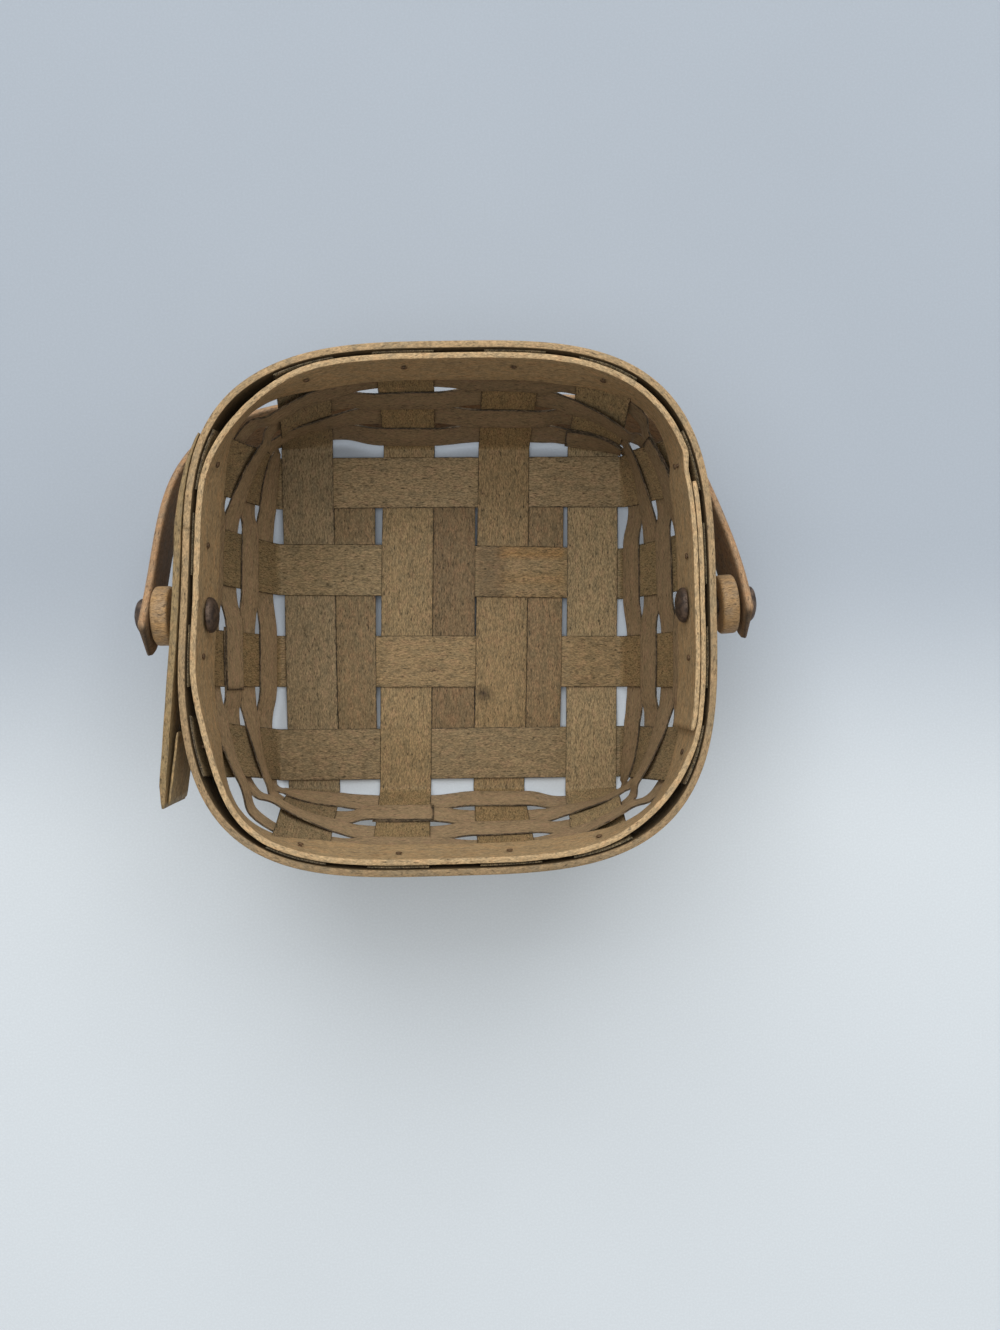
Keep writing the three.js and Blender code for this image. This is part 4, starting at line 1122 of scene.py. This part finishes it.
def make_outer_band():
    heights, factors = band_columns()
    angles = np.linspace(OUTER_BAND_JOINT, OUTER_BAND_JOINT + FULL_TURN, RIM_STEPS)
    grid = band_grid(angles, RIM_STACK - OUTER_BAND_THICKNESS / 2, heights)
    tint = np.ones(grid.shape)
    # painted shade on the top edge, deeper towards the south
    south = smooth((1 - np.sin(angles)) / 2)
    tint[:, -2:] = lerp(*OUTER_TOP_PAINTED_SHADES, south)[:, None, None]
    # painted shade on the face against the inner band
    piece = strip("outer_band_hoop", grid, OUTER_BAND_THICKNESS, factors, SEEDS["outer_band"],
                  OUTER_BAND_WOOD, tint, warp=0, butted=True, sides=(1, BETWEEN_BANDS_PAINTED_SHADE))
    assign(piece, "basket", "outer_band", "outer_band")


def make_lap():
    heights, factors = band_columns()
    grid, thickness = lap_grid(heights)
    # painted shade over the whole lap
    piece = strip("outer_band_lap_end", grid, thickness, factors, SEEDS["lap"], LAP_WOOD, LAP_PAINTED_SHADE)
    assign(piece, "basket", "lap", "outer_band_lap")


def make_tongue():
    heights, factors = band_columns(TONGUE_HEIGHT)
    piece = strip("outer_band_tongue_strip", tongue_grid(heights), TONGUE_THICKNESS, factors,
                  SEEDS["tongue"], LAP_WOOD)
    assign(piece, "basket", "lap", "outer_band_tongue")


def wall_at_pivot():
    return float(wall_half(RIM_HALF_X, np.array(PIVOT_HEIGHT)))


def lean_over(diameter):
    """How far the leaning bands move from the middle of a disc to its edge."""
    return BAND_LEAN / BAND_HEIGHT * diameter / 2


WASHER_FACE_X = wall_at_pivot() + RIM_STACK + WASHER_ROOM + LAP_THICKNESS + lean_over(WASHER_DIAMETER)
HANDLE_INNER_X = WASHER_FACE_X + WASHER_THICKNESS + 2 * FIT_GAP
HANDLE_HALF = HANDLE_INNER_X + HANDLE_THICKNESS / 2


def bow_path():
    """Points of the bow drawn level, from the tail of the west leg to that of the east
    leg, at even steps."""
    t = np.linspace(0, math.pi, BOW_STEPS + 1)
    c = np.cos(t)
    power = np.where(c > 0, WEST_CORNER_POWER, EAST_CORNER_POWER)
    x = -np.sign(c) * HANDLE_HALF * np.abs(c) ** (2 / power)
    y = (HANDLE_REACH - CROWN_INSET) * np.abs(np.sin(t)) ** (2 / power)
    points = np.stack([x, y], -1)
    points = np.concatenate([[[-HANDLE_HALF, -WEST_TAIL]], points, [[HANDLE_HALF, -EAST_TAIL]]])
    length = lengths_along(points)
    even = spaced(0, length[-1])
    return np.stack([np.interp(even, length, points[:, i]) for i in range(2)], -1), even


def make_handle():
    path, length = bow_path()
    places, factors = column_places(HANDLE_WIDTH, COLUMN_STEP, HANDLE_EDGE_DEPTHS, HANDLE_EDGE_SHARES)
    end = np.minimum(length, length[-1] - length)
    cut = HANDLE_TAIL_ROUND - np.minimum(end, HANDLE_TAIL_ROUND)
    half = HANDLE_WIDTH / 2
    narrowing = HANDLE_TAIL_ROUND - np.sqrt(np.maximum(HANDLE_TAIL_ROUND**2 - cut**2, 0))
    width_share = (half - narrowing) / half
    across = places[None, :] * width_share[:, None]
    low_side = smooth(0.5 - across / HANDLE_WIDTH)
    east_share = path[:, 0] / HANDLE_HALF
    reach = smooth(path[:, 1] / LEG_LEAN_REACH)
    west = WEST_LEG_INSET * (1 - reach) * smooth(-east_share)
    east = (EAST_LEG_INSET + EAST_LEG_LEAN * reach) * smooth(east_share)
    near_end = smooth(1 - end / TAIL_CUT_LENGTH)[:, None]
    cut_depth = TAIL_CUT_SHARE * near_end * low_side
    shift = HANDLE_THICKNESS * cut_depth / 2 * np.sign(path[:, :1])
    on_leg = rise(east_share, EAST_LEG_TWIST_START_SHARE, 1) * smooth(path[:, 1] / HANDLE_WIDTH)
    x = (path[:, 0] + west - east)[:, None] + shift - EAST_LEG_TWIST * on_leg[:, None] * low_side
    along = path[:, 1:] + 0 * across
    c = math.cos(-HANDLE_DROP)
    s = math.sin(-HANDLE_DROP)
    grid = np.stack([x, c * along - s * across, s * along + c * across + PIVOT_HEIGHT], -1)
    # painted shade on the end faces of the tails and on the inner face of the bow
    tint = np.ones(grid.shape)
    tint[[0, -1]] = TAIL_END_PAINTED_SHADE
    piece = strip("swing_handle", grid, HANDLE_THICKNESS * (1 - cut_depth), factors, SEEDS["handle"],
                  HANDLE_WOOD, tint, warp=0, sides=(HANDLE_INNER_PAINTED_SHADE, 1))
    assign(piece, "bail", "handle", "handle")


def washer_profile():
    bore = RIVET_DIAMETER / 2 + WASHER_BORE_GAP
    radius = WASHER_DIAMETER / 2
    half = WASHER_SEEN_THICKNESS / 2
    low = [(radius - a, -half + b) for a, b in WASHER_CORNER]
    high = [(radius - a, half - b) for a, b in reversed(WASHER_CORNER)]
    return [(bore, -half)] + low + high + [(bore, half), (bore, -half)]


def make_washers():
    half = WASHER_SEEN_THICKNESS / 2
    west_x = HANDLE_INNER_X - WEST_LEG_INSET - FIT_GAP - half
    east_x = HANDLE_INNER_X - EAST_LEG_INSET - EAST_WASHER_SHIFT - half
    tilt = (math.cos(EAST_WASHER_TILT), math.sin(EAST_WASHER_TILT), 0)
    # the east washer gets painted shade all over
    for name, x, axis, shade in [
        ("west", -west_x, (1, 0, 0), 1),
        ("east", east_x, tilt, EAST_WASHER_PAINTED_SHADE),
    ]:
        at = np.array([x, 0, PIVOT_HEIGHT])
        piece = turned_solid(f"{name}_washer_disc", washer_profile(), WASHER_SIDES, at, axis, WASHER_WOOD,
                             SEEDS[f"{name}_washer"], shade)
        assign(piece, "basket", "washer", f"{name}_handle_washer")


def dome_profile(height):
    radius = RIVET_HEAD_DIAMETER / 2
    profile = [(radius - RIVET_RIM_ROUND, 0), (radius, RIVET_RIM_ROUND), (radius, RIVET_RIM_HEIGHT)]
    for t in np.linspace(0, math.pi / 2, DOME_STEPS + 1)[1:-1]:
        profile.append((radius * math.cos(t), lerp(RIVET_RIM_HEIGHT, height, math.sin(t))))
    return profile + [(0, height)]


def cap_face_x(side):
    inset = LAP_INNER_FACE if side > 0 else INNER_FACE
    dent = wall_dent(np.array(0 if side > 0 else math.pi), PIVOT_HEIGHT)
    return wall_at_pivot() - float(dent) - inset - lean_over(RIVET_HEAD_DIAMETER) - SPLINT_GAP / 2


def make_rivets():
    radius = RIVET_DIAMETER / 2
    bore = radius + FIT_GAP
    cap = [(0, CAP_BORE_DEPTH), (bore, CAP_BORE_DEPTH), (bore, 0)] + dome_profile(RIVET_CAP_HEIGHT)
    for side, name, inset, height in [
        (-1, "west", WEST_LEG_INSET, WEST_RIVET_HEAD_HEIGHT),
        (1, "east", EAST_LEG_INSET, EAST_RIVET_HEAD_HEIGHT),
    ]:
        head_x = HANDLE_HALF + HANDLE_THICKNESS / 2 + FIT_GAP - inset
        cap_x = cap_face_x(side)
        end_x = cap_x - CAP_BORE_DEPTH + FIT_GAP
        length = head_x - end_x
        pin = [(0, 0), (radius, 0), (radius, length)] + [(r, h + length) for r, h in dome_profile(height)]
        for kind, node, profile, x, way in [
            ("pin", "rivet", pin, end_x, side),
            ("burr", "rivet_cap", cap, cap_x, -side),
        ]:
            at = np.array([side * x, 0, PIVOT_HEIGHT])
            piece = turned_solid(f"{name}_rivet_{kind}", profile, RIVET_SIDES, at, (way, 0, 0), RIVET_METAL,
                                 SEEDS[f"rivet_{kind}"] + side, dent=RIVET_DENT)
            assign(piece, "basket", "rivet", f"{name}_{node}")


def tack_line(splint, side):
    """Middle of the wall at a tack, the direction out of the basket and the depth of the
    inner face there."""
    z = np.array(float(TACK_HEIGHT))
    plan = leg_plan(splint, side, np.array(splint.wall_place(side, TACK_HEIGHT)), z)
    angle = math.atan2(plan[1], plan[0])
    middle = wall_point(angle, z, 0)
    direction = unit(wall_point(angle, z, 1) - middle)
    in_lap = INNER_LAP_START < angle < INNER_LAP_END + INNER_LAP_EASE / RIM_HALF_X
    return middle, direction, LAP_INNER_FACE if in_lap else INNER_FACE


def make_tacks():
    radius = TACK_SHANK_DIAMETER / 2
    head_radius = TACK_HEAD_DIAMETER / 2
    head = [(0, 0)] + [(head_radius * a, TACK_HEAD_HEIGHT * b) for a, b in TACK_HEAD_SHARES]
    parts = []
    for number, (splint, side) in enumerate(LEGS):
        middle, direction, inset = tack_line(splint, side)
        start = -inset - SPLINT_GAP - TACK_HEAD_HEIGHT
        length = SPLINT_FACE + TACK_BITE - start
        profile = head + [(radius, TACK_HEAD_HEIGHT), (radius, length - radius), (0, length)]
        parts.append(turned_solid(f"tack_part_{number}", profile, TACK_SIDES, middle + direction * start,
                                  tuple(direction), TACK_METAL, SEEDS["tack"] + number))
    with bpy.context.temp_override(active_object=parts[0], selected_editable_objects=parts):
        bpy.ops.object.join()
    piece = parts[0]
    piece.name = "band_tacks"
    assign(piece, "basket", "tack", *[f"tack_{number + 1}" for number in range(len(LEGS))])


# Stage
def make_ground():
    corners = np.array([[-1, -1, 0], [1, -1, 0], [1, 1, 0], [-1, 1, 0]]) * float(GROUND_HALF)
    ground = make_object("ground", corners, [[0, 1, 2, 3]], floor_paper("ground_paper"))


def make_camera():
    ahead = unit(np.array([math.tan(AIM_EAST), math.tan(AIM_NORTH), -1]))
    right = unit(np.cross(ahead, [0, 1, 0]))
    axes = np.stack([right, np.cross(right, ahead), -ahead, EYE * MM], -1)
    pose = Matrix([*axes.tolist(), [0, 0, 0, 1]])
    data = bpy.data.cameras.new("photo_camera")
    data.sensor_width = SENSOR_SIZE
    data.lens = SENSOR_SIZE * FOCAL_PIXELS / PHOTO_HEIGHT
    data.clip_start = NEAR_CLIP * MM
    camera = add_object("photo_camera", data)
    camera.matrix_world = Matrix.Rotation(-RIM_TWIST, 4, "Z") @ pose
    bpy.context.scene.camera = camera


def make_lamps():
    """Soft rectangular lamps that face the basket. Azimuth 0 is north."""
    for name, width, height, distance, azimuth, elevation, power in LAMPS:
        data = bpy.data.lights.new(name, "AREA")
        data.shape = "RECTANGLE"
        data.size = width
        data.size_y = height
        data.energy = power
        turn = math.radians(azimuth)
        lift = math.radians(elevation)
        flat = math.cos(lift) * distance
        at = Vector((math.sin(turn) * flat, math.cos(turn) * flat, math.sin(lift) * distance))
        lamp = add_object(name, data)
        lamp.location = at
        lamp.rotation_euler = at.to_track_quat("Z", "Y").to_euler()


def make_world():
    """A plain world that is seen brighter than it lights the basket."""
    world = bpy.data.worlds.new("studio")
    graph = Graph(world)
    rays = graph.add("LightPath").outputs
    seen = graph.plus(graph.plus(rays["Is Camera Ray"], rays["Is Glossy Ray"]), rays["Is Transmission Ray"])
    strength = graph.add("MapRange", {"Value": seen, "To Min": WORLD_LIGHT, "To Max": WORLD_SEEN})
    inputs = {"Color": WORLD_COLOUR, "Strength": strength.outputs["Result"]}
    background = graph.add("Background", inputs)
    graph.add("OutputWorld", {"Surface": background.outputs[0]})
    bpy.context.scene.world = world
    bpy.context.scene.view_settings.view_transform = "Standard"


make_camera()
make_upsplints()
make_fillers()
make_weavers()
make_inner_band()
make_outer_band()
make_lap()
make_tongue()
make_handle()
make_washers()
make_rivets()
make_tacks()
make_ground()
make_lamps()
make_world()
